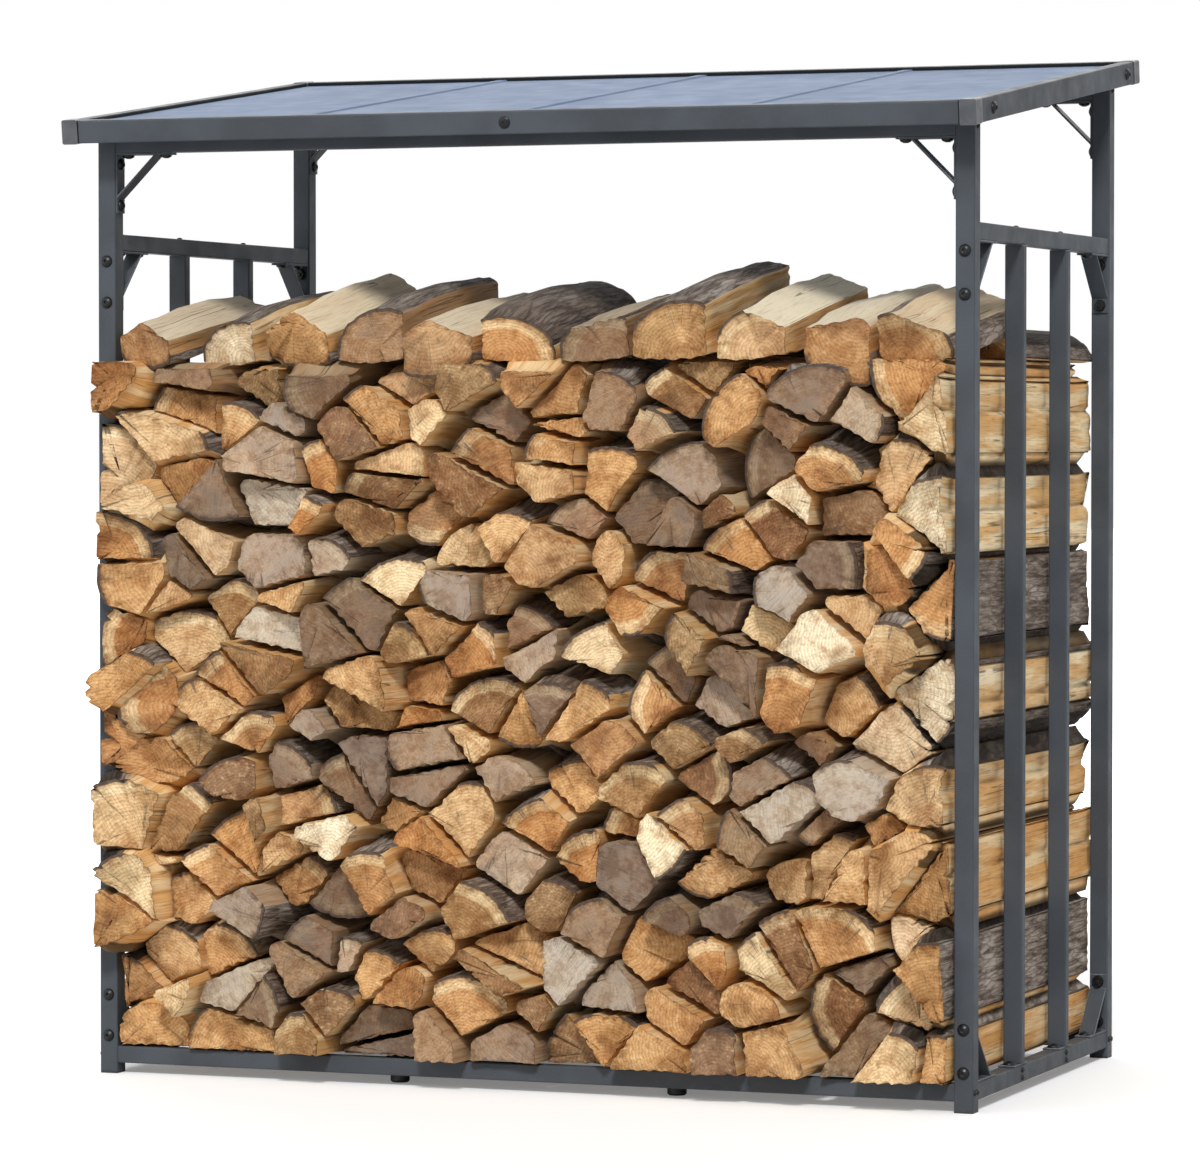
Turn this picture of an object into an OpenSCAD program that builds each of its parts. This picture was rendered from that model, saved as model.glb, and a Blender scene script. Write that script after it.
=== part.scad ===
// Open steel log store with slatted sides, a single-pitch sheet roof and a stack of split firewood.
// Units are millimetres. The origin is on the ground under the middle of the roof;
// X runs along the front, Y from front to back, Z up.

/* [Frame] */
// Width over the outer faces of the posts
frame_w = 1200; // [900:10:1800]
// Depth over the outer faces of the posts
frame_d = 650; // [450:10:900]
// Side of the square post tube
post_w = 25; // [22:1:40]
// Side of the square rail tube
rail_w = 22; // [16:1:25]
// Wall of the steel tubes
tube_wall = 1.2; // [0.8:0.1:2]
// Outside corner radius of the steel tubes
tube_r = 2; // [1.5:0.1:3]
// Height of the bottom rails above the ground
base_clear = 14; // [10:1:60]
// Drop from the roof's front edge to the top of the upper side rails
side_rail_drop = 146; // [120:1:400]

/* [Feet] */
// Thickness of the plastic caps under the posts
foot_cap_t = 3; // [2:0.5:6]
// Diameter of the round feet under the floor joists
foot_d = 25; // [18:1:40]
// Distance of the round feet from the front and back of the frame
foot_inset = 50; // [40:1:120]

/* [Side slats] */
// Slats in each side
slat_count = 2; // [1:1:4]
// Slat tube width, across the side
slat_w = 25; // [15:1:30]
// Slat tube thickness, along the side
slat_t = 15; // [10:1:25]
// Length of the foot plate under a slat
slat_plate_l = 56; // [40:1:80]
// Share of the foot plate that lies in front of the slat
slat_plate_share = 0.62; // [0.5:0.01:0.7]

/* [Corner braces] */
// Length of each leg
brace_leg = 78; // [70:1:120]
// Distance from the corner to the ends of the diagonal strap
brace_diagonal = 58; // [35:1:65]
// Width of the flat steel
brace_w = 22; // [14:1:25]
// Thickness of the flat steel
brace_t = 2.5; // [2:0.1:4]

/* [Roof] */
// Height of the top of the roof's front edge
roof_front_h = 1251; // [900:1:1500]
// Pitch of the roof, rising to the back
roof_pitch = 7.3; // [3:0.1:15]
// Overhang of the roof in front of the front posts
front_overhang = 65; // [55:1:120]
// Overhang of the roof behind the rear posts
rear_overhang = 51; // [30:1:120]
// Width of the roof beam tube
beam_w = 20; // [15:1:30]
// Height of the roof beam tube
beam_h = 30; // [25:1:50]
// Width of the lip on a side beam that carries the sheets
lip_w = 10; // [6:1:20]
// Thickness of that lip
lip_t = 2; // [1:0.1:3]
// Height of the middle rafter
rafter_h = 20; // [15:1:30]
// Depth of the sheets below the top of the beams
sheet_recess = 5; // [3:0.5:10]
// Thickness of the roof sheets
sheet_t = 1; // [0.6:0.1:2]
// Width of the covers over the sheet joints
seam_w = 16; // [10:1:30]
// Thickness of the covers over the sheet joints
seam_t = 2; // [1:0.1:3]
// Length of the plastic caps on the beam ends
cap_l = 26; // [24:1:50]
// Wall of the plastic caps
cap_wall = 1; // [0.8:0.1:2]
// Diameter of the bolt heads on the side beams
bolt_d = 15.5; // [10:0.5:20]
// Height of the bolt heads on the side beams
bolt_h = 4.5; // [2:0.1:6]

/* [Firewood] */
// Mean free height from the top of the stack to the front top rail
stack_clear = 272; // [200:5:700]
// Mean width of a log
log_w = 92; // [70:1:160]
// Clear gap left between neighbouring logs
log_gap = 0.6; // [0.3:0.1:0.9]
// Spread of the log centres about an even pattern, as a share of a log
centre_scatter = 0.29; // [0:0.01:0.35]
// Spread of the log sizes, as a share of a log
size_scatter = 0.34; // [0:0.01:0.4]
// Spread of the heights along the top of the stack, as a share of a log
crown_scatter = 0.08; // [0:0.01:0.3]
// Size from which a log is split once more, in mean logs
split_size = 1.3; // [1:0.05:3]
// Mean length by which the logs stand out of the front
log_front = 30; // [0:1:40]
// Spread of the log ends about their mean place
log_scatter = 27; // [0:1:30]
// Mean width of the logs laid on top of the stack
top_log_w = 104; // [80:1:160]
// Length of the logs that lean on the short back course
leaning_l = 350; // [250:5:450]
// Number that picks another arrangement of the logs
stack_seed = 11; // [1:1:999]

/* [Hidden] */
left = -1;
right = 1;
firewood_tiers = 8;
rows_in_tier = 2;
sheet_count = 4;
joist_count = 2;
fit_gap = 0.5;
tube_fn = 32;
round_fn = 48;
bark_fn = 96;

// Shares that shape the logs: the first number of a pair is the mean, the second the spread about it
row_stagger = 0.25;
split_turn = [90, 65];
bark_reach = [0.86, 0.07];
turned_below = -0.4;
back_log_rise = [0.45, 0.09];
back_log_start = [0.85, 0.06];
leaning_width = [0.86, 0.13];
leaning_bark = [0.62, 0.08];
leaning_pith = [0, 0.42];
leaning_top = [0.46, 0.07];
leaning_slant = [18, 10];
leaning_ridge = [36, 6];
leaning_kinds = 3;
seed_steps = [101, 7919, 31];
neighbour_reach = 3;
rest_steps = 24;
level_slack = 1;
foot_edge_share = 1 / 12;
bolt_rim_share = 1 / 4;
bolt_crown_share = 1 / 2;

steel_colour = "#54595f";
sheet_colour = "#9eacc4";
plastic_colour = "#1c1d1f";
wood_colours = ["#c9985c", "#b98450", "#8d6f55", "#d2a56c"];

post_x = frame_w / 2 - post_w / 2;
inner_w = frame_w - 2 * post_w;
rail_top = base_clear + rail_w;
side_rail_base = roof_front_h - side_rail_drop - rail_w;

// Roof frame: u runs up the slope from the front, t is square to the slope and 0 at the top of the caps
roof_h = beam_h + 2 * cap_wall;
plan_d = front_overhang + frame_d + rear_overhang;
roof_y = -plan_d / 2;
roof_d = (plan_d - roof_h * sin(roof_pitch)) / cos(roof_pitch);
sheet_top = -cap_wall - sheet_recess;
rafter_top = sheet_top - sheet_t;
rafter_base = rafter_top - rafter_h;
beam_x = frame_w / 2 + beam_w / 2;
beam_end_x = frame_w / 2 - cap_wall;
sheet_u = cap_wall + beam_w + fit_gap;

front_y = roof_y + front_overhang;
back_y = front_y + frame_d;
front_post_y = front_y + post_w / 2;
back_post_y = back_y - post_w / 2;

// Height of a plane parallel to the roof, at t from the top of the caps, over the place y
function roof_z(y, t) = roof_front_h + (y - roof_y) * tan(roof_pitch) + t / cos(roof_pitch);

// A top rail carries the rafter, and a post stops under the lip of the side beam
function top_rail_base(post_y) = roof_z(post_y - rail_w / 2, rafter_base) - rail_w;
function post_h(post_y) = roof_z(post_y - post_w / 2, rafter_top - lip_t) - fit_gap;

// Sections and tubes

module rounded_section(w, h, r) {
  square([w - 2 * r, h], center = true);
  square([w, h - 2 * r], center = true);
  for (x = [-1, 1], y = [-1, 1])
    translate([x * (w / 2 - r), y * (h / 2 - r)]) circle(r = r, $fn = tube_fn);
}

module tube_section(w, h) {
  difference() {
    rounded_section(w, h, tube_r);
    rounded_section(w - 2 * tube_wall, h - 2 * tube_wall, tube_r - tube_wall);
  }
}

module tube_up(w, d, z0, z1) {
  translate([0, 0, z0]) linear_extrude(z1 - z0) tube_section(w, d);
}

module tube_across(d, h, x0, x1) {
  translate([x0, 0, 0]) rotate([90, 0, 90]) linear_extrude(x1 - x0) tube_section(d, h);
}

module tube_back(w, h, y0, y1) {
  translate([0, y1, 0]) rotate([90, 0, 0]) linear_extrude(y1 - y0) tube_section(w, h);
}

// Posts, each plugged at the foot by a plastic cap

module post(side, y) {
  color(steel_colour) translate([side * post_x, y, 0]) tube_up(post_w, post_w, foot_cap_t, post_h(y));
}

module post_foot_caps() {
  plug_w = post_w - 2 * tube_wall - fit_gap;
  color(plastic_colour)
    for (side = [left, right], y = [front_post_y, back_post_y])
      translate([side * post_x, y, 0]) {
        linear_extrude(foot_cap_t) rounded_section(post_w, post_w, tube_r);
        linear_extrude(foot_cap_t + plug_w / 2) rounded_section(plug_w, plug_w, tube_r - tube_wall);
      }
}

// Rails between the posts

module cross_rail(y, base) {
  color(steel_colour)
    translate([0, y, base + rail_w / 2]) tube_across(rail_w, rail_w, -inner_w / 2, inner_w / 2);
}

module side_rail(side, base) {
  color(steel_colour)
    translate([side * post_x, 0, base + rail_w / 2])
      tube_back(rail_w, rail_w, front_y + post_w, back_y - post_w);
}

// Slats of the open sides, each standing on a foot plate

function slat_y(k) =
  let (clear = frame_d - 2 * post_w, gap = (clear - slat_count * slat_t) / (slat_count + 1))
  front_y + post_w + k * gap + (k - 0.5) * slat_t;

module side_slats(side) {
  color(steel_colour)
    for (k = [1:slat_count])
      translate([side * post_x, slat_y(k), 0])
        tube_up(slat_w, slat_t, rail_top + brace_t, side_rail_base);
}

module slat_foot_plates() {
  color(steel_colour)
    for (side = [left, right], k = [1:slat_count])
      translate([side * post_x - brace_w / 2, slat_y(k) - slat_plate_l * slat_plate_share, rail_top])
        cube([brace_w, slat_plate_l, brace_t]);
}

// Floor joists on round feet

function joist_x(k) = -inner_w / 2 + k * inner_w / (joist_count + 1);

module floor_joist(k) {
  rail_back = (post_w + rail_w) / 2;
  color(steel_colour)
    translate([joist_x(k), 0, base_clear + rail_w / 2])
      tube_back(rail_w, rail_w, front_y + rail_back, back_y - rail_back);
}

module joist_feet() {
  edge = foot_d * foot_edge_share;
  color(plastic_colour)
    for (k = [1:joist_count], y = [front_y + foot_inset, back_y - foot_inset])
      translate([joist_x(k), y, 0]) {
        cylinder(h = edge, r1 = foot_d / 2 - edge, r2 = foot_d / 2, $fn = round_fn);
        translate([0, 0, edge]) cylinder(h = base_clear - edge, d = foot_d, $fn = round_fn);
      }
}

// Corner braces: a bent strap with a leg along each tube, and a diagonal strap between the legs.
// The corner is at the origin and the legs run along X and Y of the section.

module brace() {
  strap = brace_t * sqrt(2);
  translate([0, 0, -brace_w / 2])
    linear_extrude(brace_w) {
      square([brace_leg, brace_t]);
      square([brace_t, brace_leg]);
      polygon([
        [brace_diagonal, 0], [brace_diagonal + strap, 0],
        [0, brace_diagonal + strap], [0, brace_diagonal]
      ]);
    }
}

module side_braces(side) {
  color(steel_colour)
    for (back = [0, 1], top = [0, 1])
      translate([
        side * post_x,
        back == 1 ? back_y - post_w : front_y + post_w,
        top == 1 ? side_rail_base : rail_top
      ])
        mirror([0, back, 0]) mirror([0, 0, top]) rotate([90, 0, 90]) brace();
}

module roof_braces(post_y) {
  color(steel_colour)
    for (at_right = [0, 1])
      mirror([at_right, 0, 0])
        translate([-inner_w / 2, post_y, top_rail_base(post_y)]) rotate([-90, 0, 0]) brace();
}

// Roof

module on_roof() {
  translate([0, roof_y, roof_front_h]) rotate([roof_pitch, 0, 0]) children();
}

module end_beam(u) {
  color(steel_colour)
    on_roof()
      translate([0, u, -cap_wall - beam_h / 2]) tube_across(beam_w, beam_h, -beam_end_x, beam_end_x);
}

module side_beam(side) {
  lip_x = frame_w / 2 - lip_w;
  color(steel_colour)
    on_roof()
      mirror([side == left ? 1 : 0, 0, 0]) {
        translate([beam_x, 0, -cap_wall - beam_h / 2])
          tube_back(beam_w, beam_h, cap_wall, roof_d - cap_wall);
        translate([lip_x, cap_l, rafter_top - lip_t])
          cube([lip_w + tube_wall / 2, roof_d - 2 * cap_l, lip_t]);
      }
}

module roof_middle_rafter() {
  color(steel_colour)
    on_roof()
      translate([0, 0, rafter_base + rafter_h / 2])
        tube_back(beam_w, rafter_h, cap_wall + beam_w, roof_d - cap_wall - beam_w);
}

// Sleeve with one closed end, pushed over the end of a side beam
module beam_cap() {
  difference() {
    linear_extrude(cap_l) rounded_section(beam_w + 2 * cap_wall, roof_h, tube_r + cap_wall);
    translate([0, 0, cap_wall]) linear_extrude(cap_l) rounded_section(beam_w, beam_h, tube_r);
  }
}

module roof_beam_caps() {
  color(plastic_colour)
    on_roof()
      for (side = [left, right], far = [0, 1])
        translate([side * beam_x, far * roof_d, -roof_h / 2])
          mirror([0, far, 0]) rotate([-90, 0, 0]) beam_cap();
}

// Bolt heads through the side beams, in line with the posts
module roof_side_bolts() {
  rim = bolt_h * bolt_rim_share;
  crown_d = bolt_d * bolt_crown_share;
  color(plastic_colour)
    for (side = [left, right], y = [front_post_y, back_post_y])
      translate([side * (beam_x + beam_w / 2), y, roof_z(y, -roof_h / 2)])
        rotate([0, side * 90, 0]) {
          cylinder(h = rim, d = bolt_d, $fn = round_fn);
          translate([0, 0, rim]) cylinder(h = bolt_h - rim, d1 = bolt_d, d2 = crown_d, $fn = round_fn);
        }
}

function sheet_edge(k) = beam_end_x * (2 * k / sheet_count - 1);

module roof_sheet(k) {
  color(sheet_colour)
    on_roof()
      translate([sheet_edge(k) + fit_gap / 2, sheet_u, sheet_top - sheet_t])
        cube([2 * beam_end_x / sheet_count - fit_gap, roof_d - 2 * sheet_u, sheet_t]);
}

module roof_seam_covers() {
  foot = seam_w / 2;
  crest = foot - seam_t;
  color(sheet_colour)
    on_roof()
      for (k = [1:sheet_count - 1])
        translate([sheet_edge(k), roof_d - sheet_u, sheet_top])
          rotate([90, 0, 0])
            linear_extrude(roof_d - 2 * sheet_u)
              polygon([[-foot, 0], [foot, 0], [crest, seam_t], [-crest, seam_t]]);
}

// Firewood stack. The front of the stack is shared out between the logs, each place going to the log
// whose centre is nearest, and a large log is split once more. The flat sides of a log are its split
// faces; its bark is an arc about the pith, which lies on the opposite side.

stack_w = inner_w - 2 * fit_gap;
stack_base = rail_top + fit_gap / 2;
stack_top = top_rail_base(front_post_y) - stack_clear;
stack_rows = firewood_tiers * rows_in_tier;
log_count = max(3, round(stack_w / log_w));
pitch_x = stack_w / log_count;
pitch_z = (stack_top - stack_base) / stack_rows;
log_area = pitch_x * pitch_z;

// Numbers from -1 to 1 that belong to one place in the stack
function draw(i, j, n, salt = 0) = rands(-1, 1, n, stack_seed + seed_steps * [i, j, salt]);

// A value about a mean, from a pair of mean and spread and a number from -1 to 1
function about(pair, d) = pair[0] + pair[1] * d;

// Centre and weight of a log; a heavier log takes room from its neighbours
function log_centre(i, j) =
  let (d = draw(i, j, 3), stagger = j % 2 == 0 ? row_stagger : -row_stagger)
  [
    -stack_w / 2 + (i + 0.5 + stagger + centre_scatter * d[0]) * pitch_x,
    stack_base + (j + 0.5 + centre_scatter * d[1]) * pitch_z,
    log_area * size_scatter * d[2]
  ];

// A half-plane is [normal x, normal z, reach]. This one holds the points nearer to p than to q,
// drawn back by half the gap.
function nearer(p, q) =
  let (
    d = [q[0] - p[0], q[1] - p[1]],
    l = norm(d),
    middle = [p[0] + q[0], p[1] + q[1]] / 2
  )
  [d[0] / l, d[1] / l, (d * middle + (p[2] - q[2]) / 2) / l - log_gap / 2];

// The part of an outline inside a half-plane
function clip(points, plane) =
  let (n = [plane[0], plane[1]], count = len(points))
  [
    for (k = [0:1:count - 1])
      let (
        a = points[k],
        b = points[(k + 1) % count],
        da = n * a - plane[2],
        db = n * b - plane[2]
      )
        each concat(da <= 0 ? [a] : [], da * db < 0 ? [a + (b - a) * da / (da - db)] : [])
  ];

function clip_all(points, planes, k = 0) =
  k == len(planes) || len(points) < 3 ? points : clip_all(clip(points, planes[k]), planes, k + 1);

function outline_area(points) =
  let (count = len(points), corners = [for (k = [0:1:count - 1]) k])
  abs([for (k = corners) cross(points[k], points[(k + 1) % count])] * [for (k = corners) 1]) / 2;

// Middle of the lowest corners of an outline
function lowest(points) =
  let (z = min([for (p = points) p[1]]), low = [for (p = points) if (p[1] < z + level_slack) p])
  (low[0] + low[len(low) - 1]) / 2;

function in_stack(i, j) = i >= 0 && i < log_count && j >= 0 && j < stack_rows;

function place_outline(i, j) =
  let (
    p = log_centre(i, j),
    crown = stack_top + crown_scatter * pitch_z * draw(i, j, 5)[4],
    bay = [
      [-stack_w / 2, stack_base], [stack_w / 2, stack_base],
      [stack_w / 2, crown], [-stack_w / 2, crown]
    ]
  )
  clip_all(bay, [
    for (dj = [-neighbour_reach:neighbour_reach], di = [-neighbour_reach:neighbour_reach])
      if ((di != 0 || dj != 0) && in_stack(i + di, j + dj)) nearer(p, log_centre(i + di, j + dj))
  ]);

// Outlines of the one or two logs at a place in the stack
function log_outlines(i, j) =
  let (
    whole = place_outline(i, j),
    p = log_centre(i, j),
    angle = about(split_turn, draw(i, j, 4)[3]),
    n = [cos(angle), sin(angle)],
    reach = n * [p[0], p[1]]
  )
  outline_area(whole) < split_size * log_area
    ? [whole]
    : [clip(whole, [n[0], n[1], reach - log_gap / 2]), clip(whole, [-n[0], -n[1], -reach - log_gap / 2])];

// A log is [outline, pith, bark radius, front end, back end]. The bark mostly faces up.
function logs_at(i, j) =
  let (outlines = log_outlines(i, j))
  [
    for (k = [0:len(outlines) - 1])
      let (
        d = draw(i, j, 4, k + 1),
        outline = outlines[k],
        turned = d[0] < turned_below,
        pith = turned ? outline[floor(len(outline) * (d[0] + 1) / (turned_below + 1))] : lowest(outline),
        bark_r = about(bark_reach, d[1]) * max([for (p = outline) norm(p - pith)])
      )
        [outline, pith, bark_r, front_y - log_front + log_scatter * d[2], back_y + log_scatter * d[3]]
  ];

// Solid with a section in X and Z, from y0 to y1
module lengthwise(y0, y1) {
  translate([0, y1, 0]) rotate([90, 0, 0]) linear_extrude(y1 - y0) children();
}

module stacked_log(log) {
  lengthwise(log[3], log[4])
    intersection() {
      polygon(log[0]);
      translate(log[1]) circle(r = log[2], $fn = bark_fn);
    }
}

module firewood_tier(tier) {
  for (j = [(tier - 1) * rows_in_tier:tier * rows_in_tier - 1], i = [0:log_count - 1]) {
    logs = logs_at(i, j);
    for (k = [0:len(logs) - 1])
      color(wood_colours[(i + j + k) % len(wood_colours)]) stacked_log(logs[k]);
  }
}

// On the uneven top of the stack lies a short course at the back, and longer logs lean on its front edge.

top_count = round(stack_w / top_log_w);
top_pitch = stack_w / top_count;

function top_row() = [for (i = [0:log_count - 1]) each logs_at(i, stack_rows - 1)];

// Height of the top of a stacked log over the place x, or 0 beside the log
function log_top(log, x) =
  let (
    points = log[0],
    count = len(points),
    edges = [
      for (k = [0:count - 1])
        let (a = points[k], b = points[(k + 1) % count])
          if ((a[0] - x) * (b[0] - x) < 0) a[1] + (b[1] - a[1]) * (x - a[0]) / (b[0] - a[0])
    ],
    off = x - log[1][0]
  )
  len(edges) < 2 || abs(off) > log[2] ? 0 : min(max(edges), log[1][1] + sqrt(log[2] * log[2] - off * off));

// Level at which a flat log of width w rests on a row of logs
function rest_z(row, x, w) =
  log_gap + max([for (log = row, k = [0:rest_steps]) log_top(log, x + w * (k / rest_steps - 0.5))]);

function top_x(i) = -stack_w / 2 + (i + 0.5) * top_pitch;
function back_log_h(i) = top_pitch * about(back_log_rise, draw(i, stack_rows, 1)[0]);
function back_log_y(i) = front_y + leaning_l * about(back_log_start, draw(i, stack_rows, 2)[1]);

// Half round, flat side down: the arc runs through both bottom corners and the crest
module firewood_back_course() {
  row = top_row();
  w = top_pitch - log_gap;
  for (i = [0:top_count - 1]) {
    h = back_log_h(i);
    r = (w * w / 4 + h * h) / (2 * h);
    color(wood_colours[i % len(wood_colours)])
      translate([top_x(i), 0, rest_z(row, top_x(i), w)])
        lengthwise(back_log_y(i), back_y + log_scatter * draw(i, stack_rows, 3)[2])
          intersection() {
            translate([-w / 2, 0]) square([w, h]);
            translate([0, h - r]) circle(r = r, $fn = bark_fn);
          }
  }
}

// Half-planes that split the top off a leaning log: none, one slanted, or two that meet in a ridge
function leaning_planes(i) =
  let (
    d = draw(i, stack_rows + 2, 3),
    way = d[1] < 0 ? left : right,
    slant = about(leaning_slant, d[1]),
    ridge = about(leaning_ridge, d[1]),
    kind = floor(leaning_kinds * (d[0] + 1) / 2),
    turns = kind == 0 ? [] : kind == 1 ? [way * slant] : [-ridge, ridge]
  )
  [for (turn = turns) [sin(turn), cos(turn), top_pitch * about(leaning_top, d[2])]];

// Flat side down, with the pith somewhere along it
module firewood_leaning_logs() {
  row = top_row();
  for (i = [0:top_count - 1]) {
    d = draw(i, stack_rows + 1, 4);
    w = top_pitch * about(leaning_width, d[0]);
    bark_r = top_pitch * about(leaning_bark, d[2]);
    y0 = front_y - log_front / 2 + log_scatter * d[3];
    z0 = rest_z(row, top_x(i), w);
    crest = rest_z(row, top_x(i), top_pitch - log_gap) + back_log_h(i) + log_gap;
    block = [[-w / 2, 0], [w / 2, 0], [w / 2, top_pitch], [-w / 2, top_pitch]];
    color(wood_colours[(i + 2) % len(wood_colours)])
      translate([top_x(i), y0, z0])
        rotate([atan((crest - z0) / (back_log_y(i) - y0)), 0, 0])
          lengthwise(0, leaning_l)
            intersection() {
              polygon(clip_all(block, leaning_planes(i)));
              translate([w * about(leaning_pith, d[1]), 0]) circle(r = bark_r, $fn = bark_fn);
            }
  }
}

// Assembly

post(left, front_post_y);  // front_left_post
post(right, front_post_y);  // front_right_post
post(left, back_post_y);  // rear_left_post
post(right, back_post_y);  // rear_right_post
post_foot_caps();
cross_rail(front_post_y, base_clear);  // front_bottom_rail
cross_rail(back_post_y, base_clear);  // rear_bottom_rail
cross_rail(front_post_y, top_rail_base(front_post_y));  // front_top_rail
cross_rail(back_post_y, top_rail_base(back_post_y));  // rear_top_rail
side_rail(left, base_clear);  // left_bottom_side_rail
side_rail(right, base_clear);  // right_bottom_side_rail
side_rail(left, side_rail_base);  // left_top_side_rail
side_rail(right, side_rail_base);  // right_top_side_rail
side_slats(left);  // left_side_slats
side_slats(right);  // right_side_slats
slat_foot_plates();
floor_joist(1);  // left_floor_joist
floor_joist(2);  // right_floor_joist
joist_feet();
side_braces(left);  // left_side_braces
side_braces(right);  // right_side_braces
roof_braces(front_post_y);  // front_roof_braces
roof_braces(back_post_y);  // rear_roof_braces
end_beam(cap_wall + beam_w / 2);  // roof_front_beam
end_beam(roof_d - cap_wall - beam_w / 2);  // roof_rear_beam
side_beam(left);  // roof_left_beam
side_beam(right);  // roof_right_beam
roof_middle_rafter();
roof_beam_caps();
roof_side_bolts();
roof_sheet(0);  // roof_sheet_left
roof_sheet(1);  // roof_sheet_centre_left
roof_sheet(2);  // roof_sheet_centre_right
roof_sheet(3);  // roof_sheet_right
roof_seam_covers();
for (k = [1:firewood_tiers]) firewood_tier(k);
firewood_back_course();
firewood_leaning_logs();
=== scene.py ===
"""Finishes of the log store: powder-coated steel, roof sheets, fasteners and a stack of split firewood."""

import math
import random

import bmesh
import bpy
from bpy.props import FloatProperty, FloatVectorProperty, IntProperty, PointerProperty
from mathutils import Matrix, Vector, noise
from mathutils.geometry import intersect_line_line_2d


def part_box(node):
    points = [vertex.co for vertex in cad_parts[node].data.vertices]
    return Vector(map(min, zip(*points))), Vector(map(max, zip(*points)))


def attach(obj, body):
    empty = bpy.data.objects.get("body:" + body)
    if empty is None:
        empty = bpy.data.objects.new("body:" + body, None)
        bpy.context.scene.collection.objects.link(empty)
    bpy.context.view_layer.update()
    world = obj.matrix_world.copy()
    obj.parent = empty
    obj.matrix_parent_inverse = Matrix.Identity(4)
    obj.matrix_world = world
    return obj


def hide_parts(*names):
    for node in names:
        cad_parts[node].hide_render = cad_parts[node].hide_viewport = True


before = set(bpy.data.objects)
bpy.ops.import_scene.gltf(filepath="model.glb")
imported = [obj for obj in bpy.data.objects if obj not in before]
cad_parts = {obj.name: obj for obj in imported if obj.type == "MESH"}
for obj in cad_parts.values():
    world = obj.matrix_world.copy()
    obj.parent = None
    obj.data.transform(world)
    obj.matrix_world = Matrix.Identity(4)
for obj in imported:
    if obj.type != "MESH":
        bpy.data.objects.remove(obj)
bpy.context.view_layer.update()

bl_info = {
    "name": "Log store",
    "version": (1, 0, 0),
    "blender": (4, 5, 0),
    "location": "View3D > Sidebar > Log store",
    "description": "Finishes a steel log store and its stack of split firewood",
    "category": "Object",
}

POSTS = ("front_left_post", "front_right_post", "rear_left_post", "rear_right_post")
SIDES = ("left", "right")
STEEL_NODES = POSTS + (
    "front_bottom_rail", "rear_bottom_rail", "front_top_rail", "rear_top_rail",
    "left_bottom_side_rail", "right_bottom_side_rail", "left_top_side_rail", "right_top_side_rail",
    "left_side_slats", "right_side_slats", "slat_foot_plates", "left_floor_joist", "right_floor_joist",
    "left_side_braces", "right_side_braces", "front_roof_braces", "rear_roof_braces",
    "roof_front_beam", "roof_rear_beam", "roof_left_beam", "roof_right_beam", "roof_middle_rafter",
)
SHEET_NODES = (
    "roof_sheet_left", "roof_sheet_centre_left", "roof_sheet_centre_right", "roof_sheet_right",
    "roof_seam_covers",
)
# Side of each roof beam that gets painted shade above the sheets
BEAM_SHADE_SIDES = {
    "roof_left_beam": (1, 0, 0), "roof_right_beam": (-1, 0, 0), "roof_rear_beam": (0, -1, 0),
    "roof_front_beam": (0, 1, 0),
}
FOOT_NODES = ("post_foot_caps", "joist_feet")
FIREWOOD_NODES = tuple(sorted(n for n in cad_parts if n.startswith("firewood_")))

X_AXIS = Vector((1, 0, 0))


def linear(red, green, blue):
    """Colour given in 0 to 255 steps of sRGB, as linear light."""
    def channel(value):
        value /= 255
        return value / 12.92 if value <= 0.04045 else ((value + 0.055) / 1.055) ** 2.4
    return channel(red), channel(green), channel(blue)


def colour_property(name, description, rgb):
    return FloatVectorProperty(
        name=name, description=description, subtype="COLOR", size=3, min=0, max=1, default=linear(*rgb))


def length_property(name, description, default):
    return FloatProperty(name=name, description=description, unit="LENGTH", min=0, default=default)


def share_property(name, description, default):
    return FloatProperty(name=name, description=description, subtype="FACTOR", min=0, max=1, default=default)


# Settings that a user would change


class SteelSettings(bpy.types.PropertyGroup):
    coat: colour_property("Coat", "Colour of the powder coat", (71, 76, 82))
    coat_dark: colour_property("Coat, dark", "Darker patches of the powder coat", (63, 67, 72))
    worn_edge: colour_property("Worn edge", "Colour where the coat is rubbed thin", (112, 116, 120))
    # Painted highlight: a lighter colour on the edges that look up
    painted_highlight: colour_property("Bright edge", "Colour of the edges that look up", (186, 190, 196))
    # Painted shade: the dark colour of the beam sides above the sheets and of the seams at the caps
    painted_beam_shade: colour_property("Seal", "Rubber seal round the roof sheets", (22, 23, 25))
    dust: colour_property("Dust", "Dust on faces that look up", (104, 103, 99))
    roughness: share_property("Roughness", "Mean roughness of the powder coat", 0.48)


class RoofSettings(bpy.types.PropertyGroup):
    sheet: colour_property("Sheet", "Colour of the roof sheets", (107, 124, 151))
    sheet_shade: colour_property("Sheet, shade", "Cloudy patches on the roof sheets", (98, 115, 141))
    streak: colour_property("Streak", "Rain streaks down the slope", (118, 135, 161))
    cap: colour_property("Beam cap", "Colour of the plastic caps on the beam ends", (58, 61, 66))
    foot: colour_property("Foot", "Colour of the plastic feet", (26, 27, 29))


class FastenerSettings(bpy.types.PropertyGroup):
    steel: colour_property("Black steel", "Colour of the bolts and nuts", (24, 25, 27))
    head_d: length_property("Bolt head", "Diameter of a bolt head", 0.0155)
    head_h: length_property("Head height", "Height of a bolt head", 0.0045)
    nut_w: length_property("Nut", "Width across the flats of a nut", 0.0125)
    screw_d: length_property("Screw head", "Diameter of a small screw head", 0.0075)
    near: length_property("Near bolt", "Distance of a brace's first bolt from the corner", 0.014)
    far: length_property("Far bolt", "Distance of a brace's second bolt from the corner", 0.068)


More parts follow.
